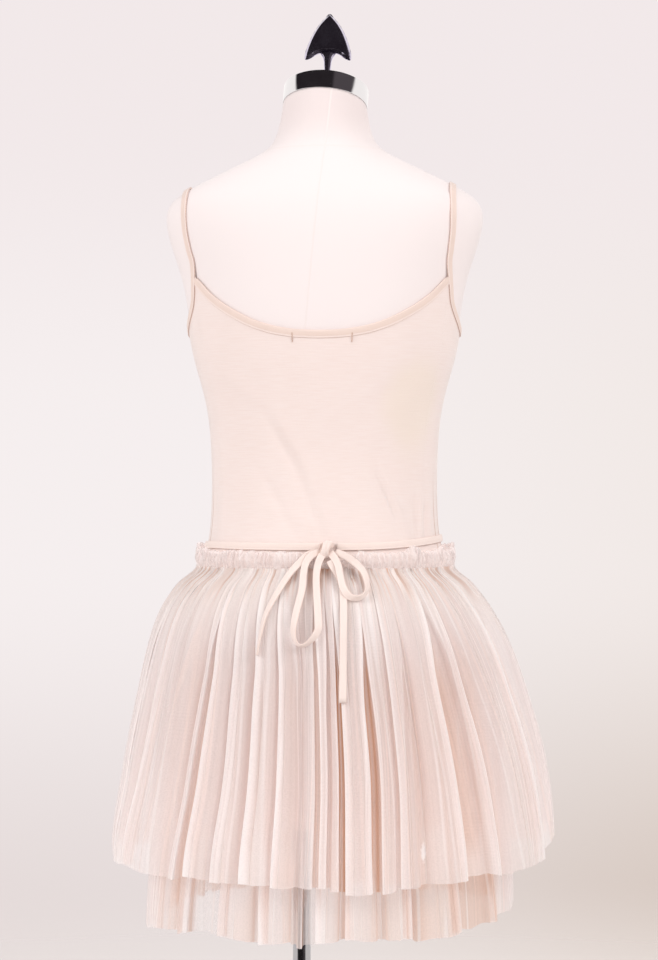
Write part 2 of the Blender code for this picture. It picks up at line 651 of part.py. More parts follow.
def folded_ring(ring, folds, middle, hem):
    """One ring of half a layer: two lips for each fold and one tuck between each pair. At the hem
    each fold has its own length."""
    inset = [(1 - fold.rise) * ring.fold for fold in folds]
    start = -90 + math.degrees(0.5 * FIT / ring.back)
    points = [(start, ring.fold, folds[0].hem)]
    for k, fold in enumerate(folds):
        points += [(fold.start, inset[k], fold.hem), (fold.end, inset[k], fold.hem)]
        if k + 1 < len(folds):
            after = folds[k + 1]
            half = math.radians(after.start - fold.end) / 2 * (ring.width + ring.back) / 2
            tuck = min(max(inset[k], inset[k + 1]) + STEEPEST * half, ring.fold)
            points.append(((fold.end + after.start) / 2, tuck, (fold.hem + after.hem) / 2))
    points.append((-start, ring.fold, folds[-1].hem))
    rise = Vector((0, 0, 1 if hem else 0))
    return [tulle_point(ring, middle + angle, depth) + rise * up for angle, depth, up in points]


def build_layer(name, rings, folds, tulle):
    """One layer of tulle, in a back and a front half, gathered at the waist and folded down."""
    turned = [Fold(-fold.end, -fold.start, fold.rise, fold.hem) for fold in reversed(folds)]
    for side, middle, ordered in (("back", 0, folds), ("front", 180, turned)):
        rows = [folded_ring(ring, ordered, middle, ring is rings[0]) for ring in rings]
        cloth(f"{name}_{side}", rows, TULLE, tulle, outwards=False)


def build_ruffle(tulle):
    """The heading above the seam: the same cloth, standing up in close waves."""
    for side, middle in (("back", 0), ("front", 180)):
        rows = []
        count = RUFFLE_WAVES
        for level, ring in enumerate(RUFFLE):
            row = []
            for k in range(count + 1):
                angle = -90 + 180 * k / count
                if k in (0, count):
                    angle -= math.copysign(math.degrees(0.5 * FIT / ring.back), angle)
                swell = 0.8 + 0.2 * math.sin(2.3 * k) if k % 2 else 0.0
                point = tulle_point(ring, middle + angle, ring.fold * (1 - swell))
                if side == "back":
                    away = min(abs(point.x - TORSO_X - KNOT.x) / PRESSED_HALF, 1)
                    kept = PRESSED_TO + (1 - PRESSED_TO) * away**2
                    point.z = WAIST_SEAM + FIT + (point.z - WAIST_SEAM - FIT) * kept
                elif level == len(RUFFLE) - 1:
                    point.z = RUFFLE_FRONT_TOP
                row.append(point)
            rows.append(row)
        cloth(f"skirt_heading_{side}", rows, TULLE, tulle, outwards=False)


def build_tie(name, rows, binding):
    """Half of the tie, along the waist from its side seam to the knot, bent where the bodice bends."""
    first, last = rows[0][0], rows[-1][0]
    bends = [a for a in (*(-c for c in COLUMNS_BACK[:0:-1]), *COLUMNS_BACK) if first < a < last]
    path = []
    for angle in (first, *bends, last):
        z = reading(rows, angle)[1]
        inner = on_form(angle, z, EASE + JERSEY + TIE_LIFT)
        path.append((inner, (inner - on_form(angle, z, EASE)).normalized()))
    strip(name, path, TIE_WIDTH, TIE_WALL, binding)


def over_skirt(x, z, lift):
    """A point this far outside the ruffle and the upper layer at the back, and the way it faces."""
    cover = [*UPPER[:-1], *RUFFLE[1:], Ring(0.9450, 0.140, 0.1040, 0.1055, 0.001, 0, 2.2)]

    def depth(x, z):
        ring = reading(cover, z)
        share = min(abs(x - ring.drift) / ring.width, 0.999)
        return -ring.back * (1 - share**ring.roundness) ** (1 / ring.roundness)

    step = 0.001
    slope_x = (depth(x + step, z) - depth(x - step, z)) / (2 * step)
    slope_z = (depth(x, z + step) - depth(x, z - step)) / (2 * step)
    normal = Vector((slope_x, -1, slope_z)).normalized()
    return Vector((TORSO_X + x, depth(x, z), z)) + normal * lift, normal


def build_bow(binding):
    """The knot, and the two loops and two tails that hang from it over the skirt."""
    bm = bmesh.new()
    bmesh.ops.create_cube(bm, size=1)
    bmesh.ops.scale(bm, vec=KNOT_SIZE, verts=bm.verts)
    bmesh.ops.bevel(bm, geom=bm.edges[:], offset=KNOT_BEVEL, segments=2, profile=0.5, affect="EDGES",
                    material=-1)
    behind = on_form(0, KNOT.z, EASE + JERSEY + TIE_LIFT).y - KNOT_OFF_BODICE - KNOT_SIZE[1] / 2
    bmesh.ops.translate(bm, verts=bm.verts, vec=(TORSO_X + KNOT.x, behind, KNOT.z))
    put("bow_knot", bm, binding)
    for name, rows in BOW.items():
        path = [over_skirt(*row) for row in through(rows, BOW_STEPS)]
        strip(name, path, TIE_WIDTH, TIE_WALL, binding)


def build():
    for old in list(bpy.data.objects):
        bpy.data.objects.remove(old, do_unlink=True)
    chrome = material("chrome", (0.55, 0.54, 0.54), 0.12, 1.0)
    iron = material("painted_iron", (0.80, 0.78, 0.76), 0.45)
    linen = material("form_linen", (0.90, 0.84, 0.81), 0.85)
    jersey = material("jersey", (0.86, 0.72, 0.63), 0.85)
    binding = material("binding", (0.84, 0.67, 0.58), 0.80)
    tulle = material("tulle", (0.86, 0.72, 0.67), 0.70)
    build_stand(chrome, iron)
    build_form(linen)
    build_cap(chrome)
    build_finial(chrome)
    build_bodice("back", jersey, binding)
    build_bodice("front", jersey, binding)
    build_strap("strap_left", -1, binding)
    build_strap("strap_right", 1, binding)
    build_layer("lower_layer", LOWER, LOWER_FOLDS, tulle)
    build_layer("upper_layer", UPPER, UPPER_FOLDS, tulle)
    build_ruffle(tulle)
    build_tie("tie_left", TIE_LEFT, binding)
    build_tie("tie_right", TIE_RIGHT, binding)
    build_bow(binding)


build()
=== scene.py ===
"""Ballet tutu on its dress form and stand, seen from behind: the looks of every piece."""

import math
from collections import namedtuple
from itertools import pairwise
from random import Random

import bmesh
import bpy
from mathutils import Matrix, Vector
from mathutils.bvhtree import BVHTree
from mathutils.noise import noise


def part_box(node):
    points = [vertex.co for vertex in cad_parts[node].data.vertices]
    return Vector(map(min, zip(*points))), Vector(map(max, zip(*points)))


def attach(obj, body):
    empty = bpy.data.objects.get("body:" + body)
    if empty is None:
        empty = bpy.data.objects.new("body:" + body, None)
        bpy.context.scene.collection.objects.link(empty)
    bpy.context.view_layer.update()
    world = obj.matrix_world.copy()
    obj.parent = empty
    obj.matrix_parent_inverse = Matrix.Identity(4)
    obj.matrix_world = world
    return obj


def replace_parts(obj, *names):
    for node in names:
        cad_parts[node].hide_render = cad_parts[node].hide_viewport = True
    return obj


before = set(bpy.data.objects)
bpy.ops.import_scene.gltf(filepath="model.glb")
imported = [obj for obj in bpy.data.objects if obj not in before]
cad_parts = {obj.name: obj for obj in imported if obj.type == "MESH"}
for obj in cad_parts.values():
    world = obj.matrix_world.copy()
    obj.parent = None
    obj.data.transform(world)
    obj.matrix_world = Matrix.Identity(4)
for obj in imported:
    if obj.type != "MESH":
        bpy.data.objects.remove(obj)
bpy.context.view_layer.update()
body_x = sum(corner.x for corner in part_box("form_torso")) / 2

# Studio. A warm white surround and a pale floor that fades out into it. The camera stands behind the
# wearer, just above the waist, with a large soft light on its left, a weaker one on its right, and
# another in front of the wearer.
CAMERA_AWAY = 2.6
CAMERA_HEIGHT = 1.01
CAMERA_TURN = math.radians(3)
CAMERA_AIM_X = body_x + 0.005
LENS = 88.6
BACKDROP_TOP = (0.888, 0.815, 0.820)
BACKDROP_LEFT = (0.918, 0.862, 0.862)
BACKDROP_RIGHT = (0.882, 0.818, 0.795)
BACKDROP_LOW_LEFT = (0.780, 0.705, 0.695)
BACKDROP_LOW_RIGHT = (0.675, 0.580, 0.525)
ROOM = (0.030, 0.024, 0.028)
ROOM_WINDOW = (0.115, 0.098, 0.108)
BRIGHT_WALL = (1.55, 1.50, 1.47)
FROM_LOW_LEFT = (0.66, 0.63, 0.62)
FROM_LOW_RIGHT = (0.42, 0.385, 0.37)
FROM_ABOVE = (1.0, 0.975, 0.97)
FLOOR_COLOUR = (0.80, 0.76, 0.74)
FLOOR_RADIUS = 4.0
FLOOR_DROP = 0.0004
SURROUND = 0.74
Softbox = namedtuple("Softbox", "name place aim size power colour")
SOFTBOXES = [
    Softbox("key_light", (-3.0, -2.3, 2.4), (0, 0, 1.0), 2.2, 66, (1.0, 0.985, 0.975)),
    Softbox("fill_light", (2.0, -1.5, 2.3), (0, 0, 1.2), 1.6, 34, (1.0, 0.98, 0.965)),
    Softbox("front_light", (0.8, 3.6, 2.2), (0, 0, 0.9), 2.4, 34, (1.0, 0.98, 0.96)),
]


class Signal:
    """A shader output that can be used in sums: each sign makes one Math node."""

    def __init__(self, socket):
        self.socket = socket

    def __add__(self, other):
        return maths("ADD", self, other)

    def __sub__(self, other):
        return maths("SUBTRACT", self, other)

    def __mul__(self, other):
        return maths("MULTIPLY", self, other)

    def __abs__(self):
        return maths("ABSOLUTE", self)


def feed(socket, value):
    """A signal led into a socket, or a constant set on it."""
    if isinstance(value, Signal):
        socket.id_data.links.new(value.socket, socket)
    else:
        socket.default_value = value


def node(tree, kind, sockets=None, **settings):
    """A node of this kind, with its settings and what its sockets are fed."""
    made = tree.nodes.new("ShaderNode" + kind)
    for name, value in settings.items():
        setattr(made, name, value)
    for name, value in (sockets or {}).items():
        feed(made.inputs[name], value)
    return made


def source(tree, kind, output, sockets=None, **settings):
    """One output of a new node."""
    return Signal(node(tree, kind, sockets, **settings).outputs[output])


def tree_of(*values):
    """The node tree of the first signal among these."""
    return next(value.socket.id_data for value in values if isinstance(value, Signal))


def maths(operation, *values):
    """A Math node's output."""
    return source(tree_of(*values), "Math", 0, dict(enumerate(values)), operation=operation)


def split(vector):
    """A vector's three parts."""
    parts = node(tree_of(vector), "SeparateXYZ", {"Vector": vector})
    return [Signal(part) for part in parts.outputs]


def ramp(value, low, high, to_low=0.0, to_high=1.0, smooth=True):
    """A value mapped from one range to another, and held at its ends."""
    sockets = {"Value": value, "From Min": low, "From Max": high, "To Min": to_low, "To Max": to_high}
    kind = "SMOOTHSTEP" if smooth else "LINEAR"
    return source(tree_of(value), "MapRange", 0, sockets, interpolation_type=kind)


def blend_colours(factor, one, other):
    """Two colours mixed."""
    mix = node(tree_of(factor, one, other), "Mix", {0: factor}, data_type="RGBA")
    for name, colour in (("A", one), ("B", other)):
        place = next(s for s in mix.inputs if s.name == name and s.type == "RGBA")
        feed(place, colour if isinstance(colour, Signal) else (*colour, 1))
    return Signal(next(s for s in mix.outputs if s.type == "RGBA"))


world = bpy.data.worlds.new("studio")
world.use_nodes = True
bpy.context.scene.world = world
air = world.node_tree
x, y, z = split(source(air, "TexCoord", "Generated"))
# What the camera sees of the surround is painted shade: darker towards the right and the bottom.
across = ramp(x, -0.11, 0.13)
middle = blend_colours(across, BACKDROP_LEFT, BACKDROP_RIGHT)
lowest = blend_colours(across, BACKDROP_LOW_LEFT, BACKDROP_LOW_RIGHT)
seen = blend_colours(ramp(z, -0.19, -0.03), lowest, middle)
seen = blend_colours(ramp(z, 0.02, 0.16), seen, BACKDROP_TOP)
dark_room = ramp(maths("MAXIMUM", z, 0.0) * -1.6 + y, -0.52, -0.74)
room = blend_colours(ramp(x, 0.28, 0.44), ROOM, ROOM_WINDOW)
mirrored = blend_colours(dark_room, BRIGHT_WALL, room)
below = blend_colours(ramp(x, -0.5, 0.7), FROM_LOW_LEFT, FROM_LOW_RIGHT)
shade = blend_colours(ramp(z, -0.5, 0.4), below, FROM_ABOVE)
by_camera, glossy = (source(air, "LightPath", f"Is {ray} Ray") for ray in ("Camera", "Glossy"))
lit = blend_colours(glossy, shade, mirrored)
backdrop = air.nodes["Background"]
feed(backdrop.inputs["Color"], blend_colours(by_camera, lit, seen))
feed(backdrop.inputs["Strength"], ramp(by_camera, 0, 1, SURROUND, 1.0, smooth=False))

for box in SOFTBOXES:
    light = bpy.data.lights.new(box.name, "AREA")
    light.shape = "DISK"
    light.size = box.size
    light.energy = box.power
    light.color = box.colour
    lamp = bpy.data.objects.new(box.name, light)
    lamp.visible_glossy = False
    lamp.location = box.place
    lamp.rotation_euler = (Vector(box.aim) - lamp.location).to_track_quat("-Z", "Y").to_euler()
    bpy.context.scene.collection.objects.link(lamp)

lens = bpy.data.cameras.new("camera")
lens.lens = LENS
lens.sensor_width = 36
camera = bpy.data.objects.new("camera", lens)
aim = Vector((CAMERA_AIM_X, 0, CAMERA_HEIGHT))
camera.location = aim + CAMERA_AWAY * Vector((math.sin(CAMERA_TURN), -math.cos(CAMERA_TURN), 0))
camera.rotation_euler = (aim - camera.location).to_track_quat("-Z", "Y").to_euler()
bpy.context.scene.collection.objects.link(camera)
bpy.context.scene.camera = camera
bpy.context.scene.view_settings.view_transform = "Standard"
bpy.context.scene.cycles.transparent_max_bounces = 40


def principled(name, colour, roughness, **sockets):
    """A material with a Principled shader in this colour, and its node tree and shader."""
    made = bpy.data.materials.new(name)
    made.use_nodes = True
    shader = made.node_tree.nodes["Principled BSDF"]
    values = {"Base Color": (*colour, 1), "Roughness": roughness}
    values.update({key.replace("_", " "): value for key, value in sockets.items()})
    for key, value in values.items():
        shader.inputs[key].default_value = value
    return made, made.node_tree, shader


def put(name, bm, finish, smooth=True):
    """The bmesh as a named object of this finish."""
    mesh = bpy.data.meshes.new(name)
    bm.to_mesh(mesh)
    bm.free()
    mesh.materials.append(finish)
    if smooth:
        mesh.shade_smooth()
    made = bpy.data.objects.new(name, mesh)
    bpy.context.scene.collection.objects.link(made)
    return made


def distance_from(place, centre, size=(1, 1, 1)):
    """How far a place is from a centre, counted in this size along each axis."""
    tree = tree_of(place)
    off = source(tree, "VectorMath", 0, {0: place, 1: centre}, operation="SUBTRACT")
    off = source(tree, "VectorMath", 0, {0: off, 1: size}, operation="DIVIDE")
    return source(tree, "VectorMath", "Value", {0: off}, operation="LENGTH")


floor_paint, tree, shader = principled("floor_paint", FLOOR_COLOUR, 0.7)
away = distance_from(source(tree, "TexCoord", "Object"), (0, 0, 0))
feed(shader.inputs["Alpha"], ramp(away, 1.0, FLOOR_RADIUS * 0.9, 1.0, 0.0))
bm = bmesh.new()
bmesh.ops.create_circle(bm, cap_ends=True, segments=96, radius=FLOOR_RADIUS)
bmesh.ops.translate(bm, verts=bm.verts, vec=(0, 0, -FLOOR_DROP))
put("studio_floor", bm, floor_paint, smooth=False)

# Base and pole. The base is a turned plate of white enamelled iron with a hub, where a set screw
# holds the pole, a chromed steel tube that goes up into the form.
BASE_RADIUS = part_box("base")[1].x
HUB_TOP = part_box("base")[1].z
BASE_THICKNESS = 0.014
HUB_RADIUS = 0.022
POLE_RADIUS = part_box("pole")[1].x
POLE_ENDS = (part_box("pole")[0].z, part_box("pole")[1].z)
SCREW_RADIUS = 0.0045
SCREW_LENGTH = 0.016
ENAMEL = (0.80, 0.78, 0.76)
STEEL = (0.42, 0.41, 0.42)


def closed(bm):
    """The bmesh with its doubles merged, its ends filled and its faces pointing outwards."""
    bmesh.ops.remove_doubles(bm, verts=bm.verts, dist=1e-6)
    bmesh.ops.holes_fill(bm, edges=[e for e in bm.edges if e.is_boundary])
    bmesh.ops.recalc_face_normals(bm, faces=bm.faces)
    return bm


def turned(profile, sides):
    """A closed body turned round the Z axis from (radius, height) points, from the top down."""
    bm = bmesh.new()
    line = [bm.verts.new((radius, 0, height)) for radius, height in profile]
    edges = [bm.edges.new(pair) for pair in pairwise(line)]
    bmesh.ops.spin(bm, geom=line + edges, axis=(0, 0, 1), cent=(0, 0, 0), angle=math.tau, steps=sides,
                   use_merge=True)
    return closed(bm)


def rounded(bm, radius):
    """The bmesh with its edges of more than 35 degrees bevelled."""
    sharp = [e for e in bm.edges if e.calc_face_angle(0) > math.radians(35)]
    bmesh.ops.bevel(bm, geom=sharp, offset=radius, segments=3, profile=0.5, affect="EDGES", material=-1)
    return bm


def rod(radius, length, sides, rounding):
    """A round bar along Z with rounded ends, its middle at the origin."""
    bm = bmesh.new()
    bmesh.ops.create_cone(bm, cap_ends=True, segments=sides, radius1=radius, radius2=radius, depth=length)
    return rounded(bm, rounding)


def noise_at(place, scale, detail=2.0, start=(0, 0, 0)):
    """Noise at a place. A scale for each axis stretches it."""
    tree = tree_of(place)
    if isinstance(scale, tuple):
        place = source(tree, "Mapping", 0, {"Vector": place, "Scale": scale, "Location": start})
        scale = 1.0
    return source(tree, "TexNoise", "Fac", {"Vector": place, "Scale": scale, "Detail": detail})


def bumped(shader, height, distance, strength):
    """The shader's surface raised by this height."""
    sockets = {"Height": height, "Distance": distance, "Strength": strength}
    feed(shader.inputs["Normal"], source(shader.id_data, "Bump", "Normal", sockets))


def shader_group(name, inputs, outputs):
    """An empty node group, the signals it is given and the sockets it fills."""
    group = bpy.data.node_groups.new(name, "ShaderNodeTree")
    for label, kind, value in inputs:
        socket = group.interface.new_socket(label, in_out="INPUT", socket_type="NodeSocket" + kind)
        if value is not None:
            socket.default_value = value
    for label, kind in outputs:
        group.interface.new_socket(label, in_out="OUTPUT", socket_type="NodeSocket" + kind)
    given = {s.name: Signal(s) for s in group.nodes.new("NodeGroupInput").outputs}
    return group, given, group.nodes.new("NodeGroupOutput").inputs


def grouped(tree, group, sockets):
    """The outputs of a group placed in a material with its own values."""
    made = tree.nodes.new("ShaderNodeGroup")
    made.node_tree = group
    for name, value in sockets.items():
        feed(made.inputs[name], value)
    return {s.name: Signal(s) for s in made.outputs}


gloss, given, made = shader_group(
    "uneven_gloss",
    [("Vector", "Vector", None), ("Scale", "Float", 40.0), ("Low", "Float", 0.3), ("High", "Float", 0.7),
     ("Least", "Float", 0.05), ("Most", "Float", 0.15)],
    [("Roughness", "Float")],
)
wander = noise_at(given["Vector"], given["Scale"])
feed(made["Roughness"], ramp(wander, given["Low"], given["High"], given["Least"], given["Most"]))


def uneven_gloss(shader, scale, low, high, least, most):
    """A roughness that wanders between two values over the surface."""
    place = source(shader.id_data, "TexCoord", "Object")
    values = {"Vector": place, "Scale": scale, "Low": low, "High": high, "Least": least, "Most": most}
    feed(shader.inputs["Roughness"], grouped(shader.id_data, gloss, values)["Roughness"])


enamel, tree, shader = principled("white_enamel", ENAMEL, 0.28, Coat_Weight=0.4)
uneven_gloss(shader, 9.0, 0.3, 0.7, 0.24, 0.36)
peel = noise_at(source(tree, "TexCoord", "Object"), 260.0)
bumped(shader, peel, 0.0002, 0.25)
base = put("round_base", rounded(turned([
    (0, HUB_TOP), (HUB_RADIUS - 0.003, HUB_TOP), (HUB_RADIUS - 0.002, HUB_TOP - 0.012),
    (HUB_RADIUS, BASE_THICKNESS + 0.004), (HUB_RADIUS + 0.008, BASE_THICKNESS),
    (BASE_RADIUS - 0.010, BASE_THICKNESS - 0.001), (BASE_RADIUS, BASE_THICKNESS - 0.007),
    (BASE_RADIUS, 0), (0, 0),
], 96), 0.0016), enamel)
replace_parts(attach(base, "root"), "base")

chromed, tree, shader = principled("chromed_steel", STEEL, 0.12, Metallic=1.0)
uneven_gloss(shader, 40.0, 0.35, 0.7, 0.07, 0.20)
bm = rod(POLE_RADIUS, POLE_ENDS[1] - POLE_ENDS[0], 64, 0.0006)
bm.transform(Matrix.Translation((0, 0, sum(POLE_ENDS) / 2)))
pole = put("chromed_pole", bm, chromed)
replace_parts(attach(pole, "root"), "pole")

bm = rod(SCREW_RADIUS, SCREW_LENGTH, 24, 0.0010)
in_hub = Matrix.Translation((0, HUB_RADIUS + 0.001, HUB_TOP - 0.010))
bm.transform(in_hub @ Matrix.Rotation(math.pi / 2, 4, "X"))
screw = put("set_screw", bm, chromed)
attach(screw, "root")

# Dress form. A padded torso, cut off at the neck, arms and thighs, under a cover of white
# stretch cotton that is sewn at the middle of the back, the sides and round the foot of the neck.
COVER = (0.893, 0.815, 0.808)
COVER_SEAM = (0.880, 0.795, 0.780)
COVER_NECK_SHADE = (0.830, 0.735, 0.725)
BACK_SEAM_X = body_x - 0.0014
BACK_SEAM_Z = 1.318
BACK_SEAM_LEAN = 0.093
NECK_SEAM_Z = 1.3705
THREAD_SIZE = 0.0011
FACE_ANGLE = math.radians(50)
CUT_ANGLE = math.radians(60)

cover_cloth, tree, shader = principled("form_cover_cotton", COVER, 0.85, Sheen_Weight=0.25,
                                       Sheen_Roughness=0.5)
place = source(tree, "TexCoord", "Object")
x, y, z = split(place)
seam_x = (z - BACK_SEAM_Z) * BACK_SEAM_LEAN + BACK_SEAM_X
nearest = maths("MINIMUM", maths("MINIMUM", abs(x - seam_x), abs(z - NECK_SEAM_Z)), abs(y))
groove = ramp(nearest, 0.0002, 0.0016)
per_metre = math.tau / THREAD_SIZE
weave = maths("SINE", (x + y) * per_metre) * maths("SINE", z * per_metre)
uneven = (noise_at(place, 420.0, 3.0) - 0.5) * 0.8
# Painted shade: the cover grows darker up the neck from its seam.
cover_neck_shaded = blend_colours(ramp(z, NECK_SEAM_Z - 0.012, NECK_SEAM_Z + 0.045), COVER, COVER_NECK_SHADE)
feed(shader.inputs["Base Color"], blend_colours(groove, COVER_SEAM, cover_neck_shaded))
bumped(shader, (weave * 0.5 + uneven) * 0.10 + groove * 0.35, 0.0010, 0.40)

bm = bmesh.new()
bm.from_mesh(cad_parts["form_torso"].data)
bmesh.ops.remove_doubles(bm, verts=bm.verts, dist=1e-5)
bmesh.ops.join_triangles(bm, faces=bm.faces, angle_face_threshold=FACE_ANGLE,
                         angle_shape_threshold=FACE_ANGLE)
crease = bm.edges.layers.float.new("crease_edge")
for edge in bm.edges:
    edge[crease] = float(edge.calc_face_angle(0) > CUT_ANGLE)
torso = put("form_covered_torso", bm, cover_cloth)
smooth = torso.modifiers.new("Smooth", "SUBSURF")
smooth.levels = smooth.render_levels = 3
bpy.context.view_layer.update()
skin = BVHTree.FromObject(torso, bpy.context.evaluated_depsgraph_get())
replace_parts(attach(torso, "root"), "form_torso")

# Neck cap and finial. The cap is a turned, chromed disc on the neck's slanted cut. The finial is a
# flat spade with a domed face, a bright chamfer under its wings and a short flared stem, in dark
# polished chrome.
CAP_RADIUS = 0.047
CAP_HEIGHT = 0.0225
NECK_CUT = Vector((body_x, 0.012, 1.4222))
CAP_TURN = Matrix.Rotation(math.radians(-18), 4, "X") @ Matrix.Rotation(math.radians(3), 4, "Y")
STEM_LENGTH = 0.035
SPADE_LENGTH = 0.0571
SPADE_HALF = 0.0262
SPADE_THICKNESS = 0.011
SPADE_LEAN = math.radians(-1.5)
CHAMFER = 0.0030
Side = namedtuple("Side", "x drop")
SPADE_TOP = [Side(*row) for row in (
    (0.0, 0.0), (0.0050, 0.0052), (0.0105, 0.0121), (0.0152, 0.0198), (0.0184, 0.0265),
    (0.0215, 0.0345), (0.0240, 0.0425), (0.0258, 0.0500), (SPADE_HALF, 0.0549),
)]
SPADE_UNDER = [Side(*row) for row in (
    (0.0, 0.0484), (0.0060, 0.0486), (0.0100, 0.0494), (0.0135, 0.0510), (0.0172, 0.0538),
    (0.0210, 0.0561), (0.0240, 0.0571), (0.0255, 0.0568), (SPADE_HALF, 0.0549),
)]
STEM = [
    (0.0, 0.0440), (0.0090, 0.0440), (0.0076, 0.0405), (0.0054, 0.0372), (0.0043, 0.0320),
    (0.0040, 0.0220), (0.0044, 0.0110), (0.0058, 0.0040), (0.0066, 0.0010), (0.0066, 0.0), (0.0, 0.0),
]
STEM_FLATTENED = (0.030, 0.044)
DARK_CHROME = (0.60, 0.56, 0.68)
CHROME = (0.74, 0.73, 0.74)


def smooth_reading(rows, at):
    """The row at this place of a table, with its other columns on smooth curves that don't overshoot."""
    if at <= rows[0][0]:
        return rows[0]
    if at >= rows[-1][0]:
        return rows[-1]
    low = next(k for k in range(len(rows) - 1) if rows[k + 1][0] >= at)
    span = rows[low + 1][0] - rows[low][0]
    t = (at - rows[low][0]) / span

    def steepness(k, column):
        if k in (0, len(rows) - 1):
            return 0.0
        before = (rows[k][column] - rows[k - 1][column]) / (rows[k][0] - rows[k - 1][0])
        after = (rows[k + 1][column] - rows[k][column]) / (rows[k + 1][0] - rows[k][0])
        return 0.0 if before * after <= 0 else 2 * before * after / (before + after)

    found = [at]
    for column in range(1, len(rows[0])):
        one, two = rows[low][column], rows[low + 1][column]
        leave, reach = steepness(low, column) * span, steepness(low + 1, column) * span
        found.append(one + t * leave + t**2 * (3 * (two - one) - 2 * leave - reach)
                     + t**3 * (2 * (one - two) + leave + reach))
    return type(rows[0])(*found)


def held(value, low=0, high=1):
    """The value, kept between two others."""
    return min(max(value, low), high)


def shaped_grid(across, along, place, size=(1, 1)):
    """A grid, each of its points moved to place(u, v), with a UV map of this size in metres."""
    bm = bmesh.new()
    flat = bm.loops.layers.uv.verify()
    bmesh.ops.create_grid(bm, x_segments=across, y_segments=along, size=0.5, calc_uvs=True)
    for face in bm.faces:
        for loop in face.loops:
            loop[flat].uv = (loop[flat].uv.x * size[0], loop[flat].uv.y * size[1])
    for vert in bm.verts:
        vert.co = place(vert.co.x + 0.5, vert.co.y + 0.5)
    return bm


cap_chrome, tree, shader = principled("cap_chrome", CHROME, 0.07, Metallic=1.0)
uneven_gloss(shader, 55.0, 0.3, 0.75, 0.04, 0.13)
on_neck = Matrix.Translation(NECK_CUT) @ CAP_TURN
bm = rounded(turned([
    (0, CAP_HEIGHT), (CAP_RADIUS - 0.0018, CAP_HEIGHT), (CAP_RADIUS, CAP_HEIGHT - 0.0014),
    (CAP_RADIUS, 0.0003), (0, 0.0003),
], 128), 0.0006)
bm.transform(on_neck)
cap = put("chromed_neck_cap", bm, cap_chrome)
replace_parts(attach(cap, "root"), "neck_cap")

spade_chrome, tree, shader = principled("dark_polished_chrome", DARK_CHROME, 0.10, Metallic=1.0)
uneven_gloss(shader, 70.0, 0.3, 0.75, 0.07, 0.17)
tip = STEM_LENGTH + SPADE_LENGTH
rim = [Vector(side) for side in (*SPADE_TOP, *SPADE_UNDER[-2::-1])]


def spade_point(u, v):
    """A point of the spade's face, domed a little and chamfered down to its outline."""
    x = SPADE_HALF * math.sin((2 * u - 1) * math.pi / 2)
    top, under = smooth_reading(SPADE_TOP, abs(x)).drop, smooth_reading(SPADE_UNDER, abs(x)).drop
    drop = under + (top - under) * (0.5 - 0.5 * math.cos(v * math.pi))
    edge = CHAMFER
    for one, two in pairwise(rim):
        run, off = two - one, Vector((abs(x), drop)) - one
        edge = min(edge, (off - run * held(off.dot(run) / run.length_squared)).length)
    rise = (edge / CHAMFER) ** 0.8
    dome = 1 - 0.35 * (x / SPADE_HALF) ** 2 - 0.2 * ((drop - 0.034) / 0.034) ** 2
    return Vector((x, -SPADE_THICKNESS / 2 * (0.12 + 0.88 * rise * dome), tip - drop))


bm = shaped_grid(56, 56, spade_point)
bmesh.ops.mirror(bm, geom=bm.verts[:] + bm.edges[:] + bm.faces[:], axis="Y", merge_dist=-1)
bmesh.ops.bridge_loops(bm, edges=[e for e in bm.edges if e.is_boundary])
bmesh.ops.remove_doubles(bm, verts=bm.verts, dist=2e-5)
stem = turned(STEM, 40)
low, high = STEM_FLATTENED
for vert in stem.verts:
    vert.co.y *= 1 - 0.5 * held((vert.co.z - low) / (high - low))
stem_mesh = bpy.data.meshes.new("stem")
stem.to_mesh(stem_mesh)
bm.from_mesh(stem_mesh)
bmesh.ops.recalc_face_normals(bm, faces=bm.faces)
on_cap = Matrix.Translation((0, 0, CAP_HEIGHT + 0.0006))
bm.transform(on_neck @ on_cap @ Matrix.Rotation(SPADE_LEAN, 4, "Y"))
spade = put("spade_finial", bm, spade_chrome)
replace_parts(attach(spade, "root"), "finial")

# Slip. Two panels of fine peach jersey, back and front, joined down the sides and hung from the
# neckline over the form; below the hips they hang straight to a hem that shows through the tulle.
EASE = 0.0015
JERSEY_WALL = 0.0010
SIDE_HEIGHT = 1.174
HIPS = 0.790
SLIP_HEM = 0.641
JERSEY = (0.905, 0.785, 0.750)
SHADOW = (0.560, 0.350, 0.260)
JERSEY_SHADE = (0.885, 0.750, 0.708)
JERSEY_SHADED_PATCH = (0.880, 0.765, 0.665)
WALE = 0.0011
PANEL_WIDTH = 0.42
PANEL_COLUMNS = 120
PANEL_ROWS = 112
BODY_MIDDLE_Y = 0.004
CREASE_FADE = 0.25
SHADED_PATCH_AT = (0.338, 1.092, 0)
SHADED_PATCH_SIZE = (0.056, 0.072, 1)
INNER_CREASE_SHADE_IN = 0.0320
OUTER_CREASE_SHADE_IN = 0.0170
TopEdge = namedtuple("TopEdge", "angle z")
BACK_EDGE = [TopEdge(*row) for row in (
    (0, 1.1685), (11.2, 1.1692), (23.6, 1.1725), (34.6, 1.1792), (47.2, 1.1932), (56.8, 1.2090),
    (63.9, 1.2260), (66.5, 1.2310), (67.6, 1.2265), (70.5, 1.2040), (75.4, 1.1895), (81.9, 1.1790),
    (90, SIDE_HEIGHT),
)]
FRONT_EDGE = [TopEdge(*row) for row in (
    (0, 1.1900), (9.9, 1.1908), (21.4, 1.1950), (33.0, 1.2050), (43.5, 1.2185), (51.1, 1.2330),
    (56.0, 1.2415), (57.1, 1.2400), (59.4, 1.2080), (66.3, 1.1900), (76.4, 1.1790), (90, SIDE_HEIGHT),
)]
BACK_CORNERS = (66.5, 67.6)
FRONT_CORNERS = (56.0, 57.1)
Crease = namedtuple("Crease", "x z to_x to_z depth width")
